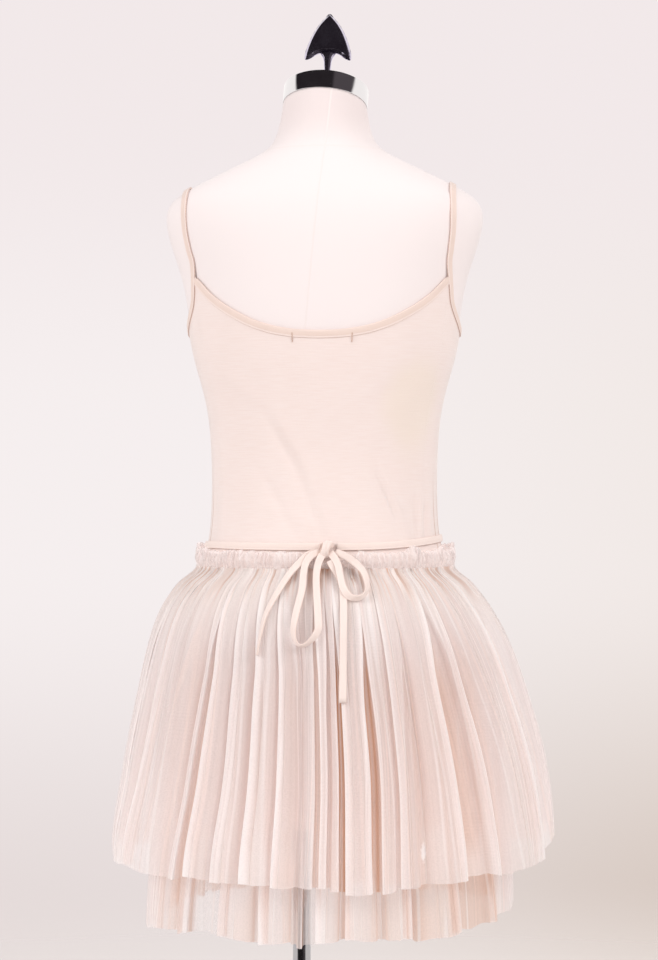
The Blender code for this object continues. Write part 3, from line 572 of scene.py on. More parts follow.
BACK_CREASES = [Crease(*row) for row in (
    (-0.0600, 1.082, -0.0140, 1.004, -0.0019, 0.0058), (-0.0500, 1.082, -0.0030, 1.008, 0.0009, 0.0075),
    (-0.0290, 1.027, 0.0050, 0.945, -0.0015, 0.0055), (-0.0180, 1.027, 0.0150, 0.945, 0.0010, 0.0070),
    (-0.0660, 1.022, -0.0220, 0.943, -0.0012, 0.0055), (0.0560, 1.024, 0.0880, 0.950, -0.0030, 0.0040),
    (0.0640, 1.024, 0.0955, 0.952, 0.0022, 0.0045), (0.0985, 0.990, 0.1000, 0.943, -0.0024, 0.0028),
    (0.1045, 0.998, 0.1055, 0.943, 0.0022, 0.0026), (0.1100, 0.985, 0.1105, 0.943, -0.0022, 0.0024),
    (0.1150, 0.990, 0.1150, 0.943, 0.0018, 0.0020), (-0.1040, 1.015, -0.1080, 0.943, 0.0008, 0.0035),
    (-0.1150, 1.012, -0.1165, 0.943, -0.0012, 0.0016), (-0.1200, 1.140, -0.0600, 1.090, 0.0008, 0.0080),
    (0.1350, 1.150, 0.0800, 1.085, 0.0008, 0.0080), (-0.0600, 0.984, 0.0100, 0.953, 0.0007, 0.0060),
    (0.0850, 1.120, 0.0300, 1.060, -0.0006, 0.0100),
)]
FRONT_CREASES = [Crease(*row) for row in (
    (0.070, 1.060, 0.020, 0.950, -0.0010, 0.008), (0.055, 1.070, 0.002, 0.960, 0.0008, 0.008),
    (-0.060, 1.030, -0.030, 0.948, 0.0009, 0.006), (-0.080, 1.020, -0.056, 0.946, -0.0009, 0.006),
    (0.110, 1.000, 0.106, 0.946, 0.0009, 0.005), (-0.110, 1.165, -0.060, 1.150, 0.0007, 0.007),
    (0.120, 1.165, 0.075, 1.150, 0.0007, 0.007), (0.000, 1.150, 0.000, 1.080, -0.0008, 0.014),
)]


def on_body(angle, height, out):
    """A point of the form's skin at this angle and height, moved out, and the way it faces there.
    Angles run round the body from the middle of the back towards +X."""
    turn = math.radians(angle)
    ray = Vector((math.sin(turn), -math.cos(turn), 0))
    place, facing = skin.ray_cast(Vector((body_x, BODY_MIDDLE_Y, max(height, HIPS))), ray)[:2]
    place = place + facing * out
    place.z += min(height - HIPS, 0)
    return place, facing


knit, given, made = shader_group(
    "jersey_knit",
    [("Vector", "Vector", None), ("Wale", "Float", WALE)],
    [("Height", "Float"), ("Streak", "Float")],
)
x, y, _ = split(given["Vector"])
per_metre = maths("DIVIDE", math.tau, given["Wale"])
wale, course = maths("SINE", x * per_metre), maths("SINE", y * (per_metre * 1.35))
feed(made["Height"], wale * 0.6 + course * 0.4)
feed(made["Streak"], noise_at(given["Vector"], (42.0, 800.0, 1.0), 3.0))

jersey_cloth, tree, shader = principled("peach_jersey", JERSEY, 0.78, Sheen_Weight=0.55,
                                        Sheen_Roughness=0.5)
flat = source(tree, "UVMap", "UV")
x, y, _ = split(flat)
stitches = grouped(tree, knit, {"Vector": flat, "Wale": WALE})
patches = noise_at(flat, 16.0)
wear = stitches["Streak"] * 0.75 + patches * 0.25
tone = blend_colours(ramp(wear, 0.30, 0.68), JERSEY_SHADE, JERSEY)
# Painted shade: a soft patch, warmer and darker, high up towards one side of each panel.
far = patches * 0.5 + distance_from(flat, SHADED_PATCH_AT, SHADED_PATCH_SIZE) - 0.25
tone = blend_colours(ramp(far, 0.35, 1.0, 0.6, 0), tone, JERSEY_SHADED_PATCH)
# Painted shadow: two thin dark lines down the creases near each side of the back panel, from the hem to a
# little above the waist.
from_side = maths("MINIMUM", x, maths("SUBTRACT", PANEL_WIDTH, x))
inner_crease_shade = ramp(abs(from_side - INNER_CREASE_SHADE_IN), 0.0004, 0.0016, 0.75, 0)
outer_crease_shade = ramp(abs(from_side - OUTER_CREASE_SHADE_IN), 0.0008, 0.0030, 0.60, 0)
behind = split(source(tree, "TexCoord", "Object"))[1]
low_behind = ramp(y, 0.960, 1.030, 1, 0) * ramp(behind, -0.006, 0.006, 1, 0)
tone = blend_colours(maths("MAXIMUM", inner_crease_shade, outer_crease_shade) * low_behind, tone, SHADOW)
feed(shader.inputs["Base Color"], tone)
bumped(shader, stitches["Height"] * 0.5 + stitches["Streak"], 0.0004, 0.35)


def push_of(creases, x, z):
    """How far the creases move the cloth out at this place."""
    push = 0.0
    for fold in creases:
        line = Vector((fold.to_x - fold.x, fold.to_z - fold.z))
        from_start = Vector((x - fold.x, z - fold.z))
        share = from_start.dot(line) / line.length_squared
        if -CREASE_FADE < share < 1 + CREASE_FADE:
            aside = abs(from_start.x * line.y - from_start.y * line.x) / line.length
            fade = math.cos(math.pi * (share - 0.5) / (1 + 2 * CREASE_FADE)) ** 2
            push += fold.depth * fade * math.exp(-((aside / fold.width) ** 2))
    return push


def sew_panel(side, edge, corners, creases):
    """One panel of the slip from hem to neckline, as a thin wall with its creases."""
    middle = 0 if side == "back" else 180
    even = {-90 + 180 * k / PANEL_COLUMNS for k in range(PANEL_COLUMNS + 1)}
    turns = sorted(even | {sign * corner for corner in corners for sign in (-1, 1)})

    def place(u, v):
        angle = turns[round(u * (len(turns) - 1))]
        height = SLIP_HEM + (smooth_reading(edge, abs(angle)).z - SLIP_HEM) * v
        spot, facing = on_body(middle + angle, height, EASE)
        return spot + facing * push_of(creases, spot.x - body_x, height)

    bm = shaped_grid(len(turns) - 1, PANEL_ROWS, place, (PANEL_WIDTH, 1.0))
    flat = bm.loops.layers.uv.verify()
    for face in bm.faces:
        for loop in face.loops:
            loop[flat].uv.y = loop.vert.co.z
    panel = put(f"slip_{side}", bm, jersey_cloth)
    wall = panel.modifiers.new("Wall", "SOLIDIFY")
    wall.thickness = JERSEY_WALL
    wall.offset = 1
    wall.use_even_offset = True
    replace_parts(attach(panel, "root"), f"bodice_{side}")


sew_panel("back", BACK_EDGE, BACK_CORNERS, BACK_CREASES)
sew_panel("front", FRONT_EDGE, FRONT_CORNERS, FRONT_CREASES)

# Bindings and straps. A folded strip of the same jersey closes each edge. Round each armhole it is
# one piece that runs on over the shoulder as the strap; the neckline's strips end against it.
BINDING = (0.915, 0.765, 0.705)
BINDING_SHADE = (0.830, 0.665, 0.590)
TIE_JERSEY = (0.955, 0.825, 0.765)
STITCH = 0.0024
TACK_COLOUR = (0.800, 0.620, 0.520)
NECK_BINDING = 0.0090
ARM_BINDING = 0.0070
PAST_EDGE = 0.0006
STRAP = 0.0080
STRAP_WALL = 0.0022
BAND_SECTION = (
    (-0.50, 0.00), (-0.485, 0.55), (-0.44, 0.88), (-0.36, 0.98), (-0.29, 0.80), (-0.22, 0.99),
    (0.0, 1.06), (0.24, 1.00), (0.40, 0.94), (0.475, 0.60), (0.50, 0.00), (0.475, -0.60),
    (0.40, -0.94), (0.0, -1.00), (-0.40, -0.94), (-0.475, -0.60),
)
NEEDLE_AT = 0.6 / len(BAND_SECTION)
RIM_AT = 9.6 / len(BAND_SECTION)
StrapRow = namedtuple("StrapRow", "x z lift drift")
STRAP_BACK = [StrapRow(*row) for row in (
    (0.1376, 1.2430, 0.0013, -0.0010), (0.1405, 1.2580, 0.0012, -0.0022),
    (0.1437, 1.2780, 0.0012, -0.0032), (0.1448, 1.2970, 0.0012, -0.0038),
)]
STRAP_OVER = (-0.051, -0.044, -0.036, -0.027, -0.017, -0.006, 0.005, 0.015, 0.024, 0.032, 0.040)
STRAP_TOP = StrapRow(0.1445, 1.3110, 0.0014, -0.0040)
STRAP_FRONT = [StrapRow(*row) for row in (
    (0.1420, 1.2990, 0.0012, -0.0032), (0.1370, 1.2850, 0.0012, -0.0022),
    (0.1262, 1.2670, 0.0012, -0.0010), (0.1160, 1.2520, 0.0013, -0.0003),
)]
ARM_BACK = (90, 87, 84, 81, 78, 75.4, 73, 70.5, 68.6)
ARM_FRONT = (58.2, 59.4, 62, 66.3, 71, 76.4, 81, 85, 90)
MIDWALL = EASE + JERSEY_WALL / 2 + 0.0003
ARM_OUT = MIDWALL + 0.0006
NECK_STEPS = 90
TACKS = (-0.0333, 0.0398)
TACK = 0.0009
TACK_WALL = 0.0006
TACK_TOP = 1.1665
TACK_DOWN = (0.0, 0.0034, 0.0068, 0.0102)
TACK_OUT = (0.0012, 0.0012, 0.0012, 0.0005)
BACK_BEND = 0.125
Station = namedtuple("Station", "place facing width twist")


def on_curve(rows, i, t):
    """A row between rows i and i + 1, on one smooth curve through them all."""
    before, one, two, after = (rows[held(k, 0, len(rows) - 1)] for k in range(i - 1, i + 3))
    return 0.5 * (2 * one + (two - before) * t + (2 * before - 5 * one + 4 * two - after) * t**2
                  + (3 * one - before - 3 * two + after) * t**3)


def smoothed(stations, steps):
    """More stations, on one smooth curve through these."""
    rows = [Vector((*s.place, *s.facing, s.width, s.twist)) for s in stations]
    found = [on_curve(rows, i, step / steps) for i in range(len(rows) - 1) for step in range(steps)]
    found.append(rows[-1])
    return [Station(Vector(row[:3]), Vector(row[3:6]).normalized(), row[6], row[7]) for row in found]


def band(name, stations, wall, finish):
    """A folded strip along its stations, with a stitched groove near one edge."""
    run = [0.0]
    for one, two in pairwise(stations):
        run.append(run[-1] + (two.place - one.place).length)

    def place(u, v):
        i = round(u * (len(stations) - 1))
        here = stations[i]
        ahead = stations[min(i + 1, len(stations) - 1)].place - stations[max(i - 1, 0)].place
        across = here.facing.cross(ahead).normalized()
        out = ahead.normalized().cross(across)
        turn = Matrix.Rotation(here.twist, 3, ahead)
        side, rise = BAND_SECTION[round(v * len(BAND_SECTION)) % len(BAND_SECTION)]
        return here.place + turn @ (across * side * here.width + out * rise * wall / 2)

    bm = shaped_grid(len(stations) - 1, len(BAND_SECTION), place, (run[-1], 1.0))
    return put(name, closed(bm), finish)


def inside_edge(edge, middle, angle, width, out):
    """A station half a binding's width inside a panel's top edge, at this angle from its middle."""
    def on_edge(turn):
        return on_body(middle + turn, smooth_reading(edge, abs(turn)).z, out)

    place, facing = on_edge(angle)
    ahead = on_edge(min(angle + 0.4, 90))[0] - on_edge(max(angle - 0.4, -90))[0]
    across = facing.cross(ahead).normalized()
    return Station(place - across * math.copysign(width / 2 - PAST_EDGE, across.z), facing, width, 0.0)


def strip_cloth(name, colour, shade_share):
    """Folded jersey with a needle line near one edge, partly a painted shadow, a painted shaded fold
    towards the other edge and a painted shadow along its rim.
    """
    cloth, tree, shader = principled(name, colour, 0.72, Sheen_Weight=0.25, Sheen_Roughness=0.45)
    flat = source(tree, "UVMap", "UV")
    along, across, _ = split(flat)
    stitches = grouped(tree, knit, {"Vector": flat, "Wale": WALE})
    # The needle line near one edge is partly stitches and partly a painted shadow where that edge meets
    # the cloth beside it.
    seam = ramp(abs(across - NEEDLE_AT), 0.015, 0.070, 1, 0)
    fold = ramp(across, 0.24, 0.33) * ramp(across, 0.33, 0.60, 1, 0.45)
    dashes = maths("SINE", along * (math.tau / STITCH))
    stitches_and_edge_shadow = seam * ramp(dashes, -0.7, -0.2, 0.75, 1)
    tone = blend_colours(ramp(stitches["Streak"], 0.3, 0.7), JERSEY_SHADE, colour)
    # Painted shade on the fold towards the other edge.
    tone = blend_colours(fold * shade_share, tone, BINDING_SHADE)
    # Painted shadow along the rim of that edge.
    tone = blend_colours(ramp(abs(across - RIM_AT), 0.010, 0.055, 0.30, 0), tone, SHADOW)
    feed(shader.inputs["Base Color"], blend_colours(stitches_and_edge_shadow * 0.80, tone, SHADOW))
    bumped(shader, stitches_and_edge_shadow * -0.8 + stitches["Height"] * 0.3, 0.0004, 0.4)
    return cloth


binding_cloth = strip_cloth("jersey_binding", BINDING, 0.85)
tie_cloth = strip_cloth("jersey_tie", TIE_JERSEY, 0.16)
tack_thread, tree, shader = principled("tacking_thread", TACK_COLOUR, 0.7)
twist = {"Vector": source(tree, "UVMap", "UV"), "Scale": 320.0, "Distortion": 0.6}
ply = source(tree, "TexWave", "Fac", twist, bands_direction="DIAGONAL")
feed(shader.inputs["Base Color"], blend_colours(ply, SHADOW, TACK_COLOUR))
bumped(shader, ply, 0.0002, 0.5)

for side, edge, (corner, _), middle in (
    ("back", BACK_EDGE, BACK_CORNERS, 0),
    ("front", FRONT_EDGE, FRONT_CORNERS, 180),
):
    stations = [inside_edge(edge, middle, -corner + 2 * corner * k / NECK_STEPS, NECK_BINDING, MIDWALL)
                for k in range(NECK_STEPS + 1)]
    piece = band(f"neckline_binding_{side}", stations, STRAP_WALL, binding_cloth)
    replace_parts(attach(piece, "root"), f"neck_binding_{side}")

for number, across in enumerate(TACKS, 1):
    angle = math.degrees(math.asin(across / BACK_BEND))
    stations = []
    for down, out in zip(TACK_DOWN, TACK_OUT):
        spot, facing = on_body(angle, TACK_TOP - down, MIDWALL + out)
        stations.append(Station(spot, facing, TACK, 0.0))
    tack = band(f"neckline_tack_{number}", smoothed(stations, 4), TACK_WALL, tack_thread)
    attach(tack, "root")


def strap_station(row, hand, depth, height, way):
    """Where the strap lies on a line from this depth and height, going this way, to the form."""
    start = Vector((body_x + hand * row.x + row.drift, depth, height))
    spot, facing = skin.ray_cast(start, Vector(way))[:2]
    return Station(spot + facing * row.lift, facing, STRAP, 0.0)


for hand, side in ((-1, "left"), (1, "right")):
    stations = [inside_edge(BACK_EDGE, 0, hand * angle, ARM_BINDING, ARM_OUT) for angle in ARM_BACK]
    stations += [strap_station(row, hand, -1, row.z, (0, 1, 0)) for row in STRAP_BACK]
    stations += [strap_station(STRAP_TOP, hand, depth, 2, (0, 0, -1)) for depth in STRAP_OVER]
    stations += [strap_station(row, hand, 1, row.z, (0, -1, 0)) for row in STRAP_FRONT]
    stations += [inside_edge(FRONT_EDGE, 180, -hand * angle, ARM_BINDING, ARM_OUT) for angle in ARM_FRONT]
    name = f"armhole_binding_and_strap_{side}"
    piece = band(name, smoothed(stations, 4)[::-hand], STRAP_WALL, binding_cloth)
    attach(piece, "root")
    for solid in (f"armhole_binding_back_{side}", f"strap_{side}", f"armhole_binding_front_{side}"):
        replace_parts(piece, solid)

# Skirt. Two layers of soft tulle, the upper one shorter, gathered into one waist seam and falling
# in pressed folds whose edges turn under, so that two or three thicknesses lie over each other.
WAIST_SEAM = 0.9165
Ring = namedtuple("Ring", "z width back front drift fold roundness")
UPPER = [Ring(*row) for row in (
    (0.5960, 0.2440, 0.2100, 0.2050, 0.0095, 0.0150, 2.00),
    (0.6900, 0.2335, 0.1900, 0.1860, 0.0115, 0.0140, 2.00),
    (0.8050, 0.2085, 0.1640, 0.1610, 0.0070, 0.0120, 2.00),
    (0.8430, 0.1960, 0.1540, 0.1510, 0.0040, 0.0105, 2.05),
    (0.8725, 0.1815, 0.1410, 0.1400, 0.0018, 0.0085, 2.10),
    (0.8967, 0.1630, 0.1230, 0.1230, 0.0010, 0.0055, 2.15),
    (WAIST_SEAM, 0.1410, 0.1043, 0.1043, 0.0010, 0.0020, 2.20),
)]
LOWER = [Ring(*row) for row in (
    (0.5340, 0.2040, 0.1880, 0.1820, 0.006, 0.0140, 2.00),
    (0.6000, 0.2010, 0.1790, 0.1740, 0.006, 0.0130, 2.00),
    (0.7800, 0.1860, 0.1430, 0.1370, 0.005, 0.0080, 2.10),
    (0.8500, 0.1740, 0.1300, 0.1250, 0.004, 0.0050, 2.15),
    (0.8850, 0.1580, 0.1160, 0.1150, 0.003, 0.0030, 2.20),
    (WAIST_SEAM, 0.1372, 0.1003, 0.1003, 0.000, 0.0014, 2.20),
)]
# A fold's gap sets the painted shade in the tuck that follows it; below zero that tuck is sheerer
# instead.
Fold = namedtuple("Fold", "start end rise lean gap hem last")
UPPER_FOLDS = [Fold(*row) for row in (
    (-87.0, -74.5, 0.90, 0, 0.40, 0.016, 0.006), (-72.5, -65.5, 0.95, -1, 0.80, 0.002, 0.001),
    (-63.2, -42.2, 0.95, -1, 0.70, 0.004, -0.001), (-40.9, -39.4, 0.80, 0, 0.85, 0.000, 0.000),
    (-35.8, -28.8, 1.00, -1, 0.60, 0.004, 0.002), (-28.0, -21.9, 0.85, -1, 0.80, 0.001, 0.001),
    (-20.4, -13.8, 1.00, -1, 0.30, 0.002, 0.000), (-12.9, -7.4, 0.80, -1, 0.45, -0.001, -0.001),
    (-6.4, -3.0, 0.60, 1, 0.85, -0.001, -0.001), (-1.3, 0.4, 0.90, 0, 0.50, 0.000, 0.000),
    (1.5, 3.3, 1.00, 1, 1.00, -0.004, -0.004), (5.0, 11.4, 0.95, 0, 1.00, -0.007, -0.006),
    (14.1, 18.3, 1.00, -1, 0.20, -0.006, -0.004), (19.1, 24.5, 0.90, -1, 0.60, -0.002, -0.001),
    (26.6, 35.6, 0.95, 1, 0.80, 0.000, 0.002), (42.8, 46.0, 1.00, 1, 0.45, 0.006, 0.003),
    (48.2, 68.8, 0.95, 1, 0.75, 0.003, 0.010), (71.0, 87.0, 0.90, 1, 0.40, 0.016, 0.034),
)]
LOWER_FOLDS = [Fold(*row) for row in (
    (-87.0, -66.5, 0.80, -1, 0.50, -0.013, -0.008), (-64.0, -51.0, 0.90, -1, 0.60, -0.004, 0.000),
    (-49.0, -43.0, 1.00, 1, -0.70, -0.003, 0.002), (-31.0, -20.6, 1.00, -1, 0.60, 0.004, 0.000),
    (-18.6, -9.6, 0.85, -1, 0.60, -0.002, 0.001), (-7.8, -5.8, 0.70, 1, -0.40, -0.004, -0.004),
    (-1.4, 5.6, 0.90, -1, 0.55, 0.002, 0.004), (7.4, 16.8, 1.00, -1, 0.55, 0.005, 0.003),
    (18.8, 26.8, 0.90, 1, 0.60, 0.004, 0.004), (28.6, 43.2, 1.00, 1, 0.35, 0.000, 0.004),
    (57.0, 61.5, 0.90, 1, 0.65, 0.006, 0.008), (66.0, 87.0, 0.80, 1, 0.50, 0.010, 0.016),
)]
FAN = 12.0
FAN_PIVOT = 0.73
TULLE = (0.990, 0.922, 0.912)
TULLE_GATHERED = (1.000, 0.918, 0.885)
TULLE_LIGHT_SHADE = (0.970, 0.862, 0.838)
TULLE_SHADE = (0.925, 0.735, 0.655)
TULLE_DARKEST_SHADE = (0.660, 0.345, 0.195)
GATHER_SHADE = (0.640, 0.430, 0.340)
TULLE_HIGHLIGHT = (1.000, 0.975, 0.972)
TULLE_DENSITY = 0.52
CRUMPLE = (1.000, 0.985, 0.985)
CRUMPLE_AT = (0.1360, -0.1780, 0.6285)
CRUMPLE_SIZE = (0.0032, 0.0300, 0.0112)
MESH_HOLE = 0.0014
MOIRE = 0.0042
GATHERS_START = (3.7, 0, 0)
LINE_STARTS = (0.0, 7.3)
THROUGH_LIGHT = 0.26
LAYER_ROWS = 48
COLUMN_WIDTH = 0.0042
PUCKER = 0.0026
RIPPLE = 0.0012
HEM_WAVE = 0.0022
HEM_RIPPLE = 0.0008
# Each line also carries edge, a painted highlight on crisp fold edges and faint creases, and tone,
# painted shade that deepens into the tucks and across the faces that sink away; a tone below zero makes
# the net sheerer there.
Line = namedtuple("Line", "angle depth edge tone hem shift begin")


def oval(angle, width, back, front, roundness):
    """The point of a superellipse at this angle, with its own depth at the back and in front."""
    across, along = math.sin(math.radians(angle)), math.cos(math.radians(angle))
    depth = back if along > 0 else front
    return (math.copysign(width * abs(across) ** (2 / roundness), across),
            -math.copysign(depth * abs(along) ** (2 / roundness), along))


def pleat_lines(folds, dice):
    """The folded edge of a layer once round the body: each fold's face, its crisp sides turned
    under it and its soft one sinking away, and the tuck between two folds. Near the waist the
    faces close over the tucks: shift is how far a line moves for that, and begin how far down
    the tuck starts to open."""
    front = [Fold(180 - fold.end, 180 - fold.start, fold.rise, -fold.lean, 0.7, fold.last, fold.hem)
             for fold in reversed(folds)]
    both = [*folds, *front]
    first, last = (Fold(at, at, 0, 0, 0.5, folds[0].hem, folds[0].hem) for at in (-90, 270))
    lines = [Line(-90, 1, 0, 0.5, folds[0].hem, 0, 0.1)]
    for before, fold, after in zip([first, *both], both, [*both[1:], last]):
        inset = 1 - fold.rise
        width = fold.end - fold.start
        begin = dice.uniform(0.05, 0.24)

        def side(edge, towards):
            """The lines down one side of the fold, from its tuck to its face."""
            if fold.lean == -towards:
                return [(edge, min(inset + 0.62, 0.95), 0, 0.42),
                        (edge - 0.12 * width * towards, inset + 0.32, 0, 0.26),
                        (edge - 0.34 * width * towards, inset + 0.12, 0, 0.12)]
            under = min(dice.uniform(0.12, 0.35) * width, 2.2)
            bright = dice.uniform(0.35, 1.0)
            return [(edge - 0.55 * under * towards, min(inset + 0.66, 0.95), 0, 0.58),
                    (edge - under * towards, min(inset + 0.52, 0.86), 0, 0.44),
                    (edge - 0.5 * under * towards, inset + 0.30, 0.1, 0.27),
                    (edge + 0.06 * towards, inset + 0.12, bright, 0.05),
                    (edge - 0.06 * towards, inset + 0.01, bright, 0)]

        profile = side(fold.start, -1)
        low, high = (0.42 if fold.lean == 1 else 0.12), (0.58 if fold.lean == -1 else 0.88)
        creases = max(int(width * (high - low) / 1.8), 1)
        for j in range(creases):
            share = low + (high - low) * (j + dice.uniform(0.3, 0.7)) / creases
            away = {-1: share, 0: min(share, 1 - share), 1: 1 - share}[fold.lean]
            dent = dice.choice((0.02, 0.03, 0.05, -0.03, -0.04))
            faint = dice.choice((0, 0.15, 0.35, 0.6))
            spot = fold.start + width * share
            if width > 2.5:
                profile += [(spot - 0.26, inset + 0.3 * dent, 0, 0.25 * away),
                            (spot, inset + dent, faint, 0.25 * away),
                            (spot + 0.20, inset + 0.2 * dent, 0, 0.25 * away)]
            else:
                profile.append((spot, inset, 0, 0.1))
        profile += side(fold.end, 1)[::-1]
        for angle, depth, edge, tone in profile:
            share = held((angle - fold.start) / width)
            shift = (after.start - fold.end) / 2 * share - (fold.start - before.end) / 2 * (1 - share)
            hem = fold.hem + (fold.last - fold.hem) * share
            lines.append(Line(angle, depth, edge, tone, hem, shift, begin))
        gap = after.start - fold.end
        for share in (0.15, 0.5, 0.85) if gap < 4 else (0.10, 0.35, 0.62, 0.88):
            from_left = share if fold.lean >= 0 else 1
            from_right = 1 - share if after.lean <= 0 else 1
            tone = min(abs(fold.gap) ** 1.4 + 0.05, 1) * (1 - 0.5 * min(from_left, from_right))
            if fold.gap < 0:
                tone = fold.gap
            depth = 1.0 - dice.uniform(0, 0.12 if gap < 4 else 0.28)
            lines.append(Line(fold.end + share * gap, depth, 0, tone, (fold.last + after.hem) / 2,
                              (0.5 - share) * gap, begin))
    return lines


def hang_layer(name, rings, folds, nodes, cut, seed):
    """One layer of tulle all round, hung from the waist seam."""
    dice = Random(seed)
    rows = [Vector(line) for line in pleat_lines(folds, dice)]
    girth = math.radians((rings[0].width + rings[0].back) / 2)
    columns = []
    for i, (one, two) in enumerate(pairwise(rows)):
        long = math.hypot((two[0] - one[0]) * girth, (two[1] - one[1]) * rings[0].fold)
        steps = held(round(long / COLUMN_WIDTH), 2, 6)
        columns += [on_curve(rows, i, step / steps) for step in range(steps)]
    columns.append(rows[-1])

    def place(u, v):
        angle, depth, _, _, hem, shift, begin = columns[round(u * (len(columns) - 1))]
        t = (1 - v) ** 1.2
        level = WAIST_SEAM + (rings[0].z - WAIST_SEAM) * t
        ring = smooth_reading(rings, level)
        opened = held((t - 0.35 * begin) / (begin + 0.22))
        opened = opened * opened * (3 - 2 * opened)
        turn = math.radians(angle)
        spread = math.sin(2 * turn) * math.sin(turn) ** 2
        angle += shift * (1 - opened) - FAN * spread * (1 - t / FAN_PIVOT)
        angle += (0.66 - t) * (2.6 * noise((angle * 0.07, t * 1.6, seed))
                              + 1.1 * noise((angle * 0.25, t * 3.0, seed + 9)))
        depth = depth * opened + (0.22 + 0.25 * depth) * (1 - opened)
        pucker = math.exp(-t / 0.12) * (noise((angle * 1.1, t * 2, seed + 20))
                                        + 0.6 * noise((angle * 2.3, t * 3, seed + 60)))
        ripple = noise((angle * 0.30, t * 4, seed + 40)) * min(t * 3.5, 1)
        inset = ring.fold * held(depth, -0.02, 1.05) + PUCKER * pucker + RIPPLE * ripple
        x, y = oval(angle, ring.width - inset, ring.back - inset, ring.front - inset, ring.roundness)
        hem += HEM_WAVE * noise((angle * 0.16, seed, 3)) + HEM_RIPPLE * noise((angle * 1.3, seed, 5))
        return Vector((body_x + ring.drift + x, y, level + hem * t**3))

    bm = shaped_grid(len(columns) - 1, LAYER_ROWS, place, cut)
    painted_shade, edge = bm.verts.layers.float.new("painted_shade"), bm.verts.layers.float.new("edge")
    # Each point gets painted shade and a painted highlight: the lines' tone, which fades out towards the
    # seam, and edge; painted shade and highlights on the puckered gathers just below the seam; painted
    # shade on the right of the upper layer and all over the lower layer, more of it towards the right;
    # and a painted shadow under the bow's knot. Near the side seams the tone drops below zero, which
    # makes the tulle sheerer there.
    for k, vert in enumerate(bm.verts):
        column, down = columns[k % len(columns)], 1 - k // len(columns) / LAYER_ROWS
        gathers = (math.exp(-down / 0.11) * noise((column[0] * 1.1, down * 2, seed + 20))
                   + 0.7 * math.exp(-down / 0.28) * noise((column[0] * 0.45, down * 2, seed + 80)))
        sideways = math.sin(math.radians(column[0]))
        by_seam = held((abs(sideways) - 0.90) / 0.10)
        tone = column[3]
        if tone >= 0 and rings is UPPER:
            tone += 0.22 * max(sideways - 0.55, 0) / 0.45
        elif tone >= 0:
            tone = min(tone + 0.38 + 0.36 * max(sideways, 0), 0.80)
        tone = (tone * (1 - by_seam) - 0.12 * by_seam) * min(down * 2.5, 1)
        shadow_under_knot = math.exp(-down / 0.12 - ((column[0] - 0.5) / 4.5) ** 2)
        vert[painted_shade] = held(tone + 1.5 * max(gathers - 0.05, 0) + 1.1 * shadow_under_knot, -1)
        vert[edge] = held(column[2] * min(down * 5, 1) - 1.6 * min(gathers + 0.04, 0))
    layer = put(name, bm, tulle_cloth)
    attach(layer, "root")
    for solid in nodes:
        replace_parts(layer, solid)
    return layer


tulle_cloth, tree, shader = principled("tulle", TULLE, 0.85, Sheen_Weight=0.2, Sheen_Roughness=0.5)
flat, place = source(tree, "UVMap", "UV"), source(tree, "TexCoord", "Object")
painted_shade, edge = (source(tree, "Attribute", "Fac", attribute_name=name) for name in ("painted_shade", "edge"))
up, height = split(flat)[1], split(place)[2]
cell_edge = source(tree, "TexVoronoi", "Distance", {"Vector": flat, "Scale": 1 / MESH_HOLE},
                   feature="DISTANCE_TO_EDGE")
threads = ramp(cell_edge, 0.02, 0.22, 1, 0)
bands = maths("SINE", up * (math.tau / MOIRE) + noise_at(flat, 22.0, 1.0) * 26)
density = bands * ramp(noise_at(flat, 9.0), 0.50, 0.68) * 0.010 + TULLE_DENSITY
for stretch, amount in (((95.0, 2.0, 1.0), 0.22), ((420.0, 3.0, 1.0), 0.20)):
    density = (noise_at(flat, stretch) - 0.5) * amount + density
pleats = ramp(up, 0.300, 0.362)
for stretch, low, high in (((250.0, 4.0, 1.0), 0.49, 0.58), ((34.0, 3.0, 1.0), 0.36, 0.52)):
    pleats = pleats * ramp(noise_at(flat, stretch, 1.0, GATHERS_START), low, high)
# Two sets of fine lines down the skirt below the seam: the first is a painted shade line, the second a
# painted highlight; both make the net a little denser.
lines = []
for start in LINE_STARTS:
    off_line = abs(noise_at(flat, (40.0, 1.1, 1.0), 0.0, (start, 0, 0)) - 0.5)
    lines.append(ramp(off_line, 0.006, 0.024, 1, 0) * ramp(height, 0.915, 0.918, 1, 0))
far = noise_at(place, 260.0) * 0.7 + distance_from(place, CRUMPLE_AT, CRUMPLE_SIZE)
crumpled = ramp(far, 0.85, 1.45, 1, 0)
# Painted shade, read from a vertex attribute, tints the tulle towards peach and brown in three steps and
# makes it denser where it is darkest; below zero it makes the net sheerer. The other attribute, edge, is
# a painted highlight that also makes the net denser.
darkest_shade = ramp(painted_shade, 0.70, 0.97)
density = edge * 0.34 + density + ramp(up, 0.20, 0.36, 0.0, 0.28)
density = pleats * 0.28 + density + crumpled * 0.35 + maths("MAXIMUM", *lines) * 0.12
density = darkest_shade * 0.32 + density + ramp(painted_shade, -1.0, 0.0, -0.30, 0.0) + (threads - 0.35) * 0.05
tone = blend_colours(ramp(up, 0.24, 0.34), TULLE, TULLE_GATHERED)
tone = blend_colours(ramp(painted_shade, 0.0, 0.40), tone, TULLE_LIGHT_SHADE)
tone = blend_colours(ramp(painted_shade, 0.40, 0.75), tone, TULLE_SHADE)
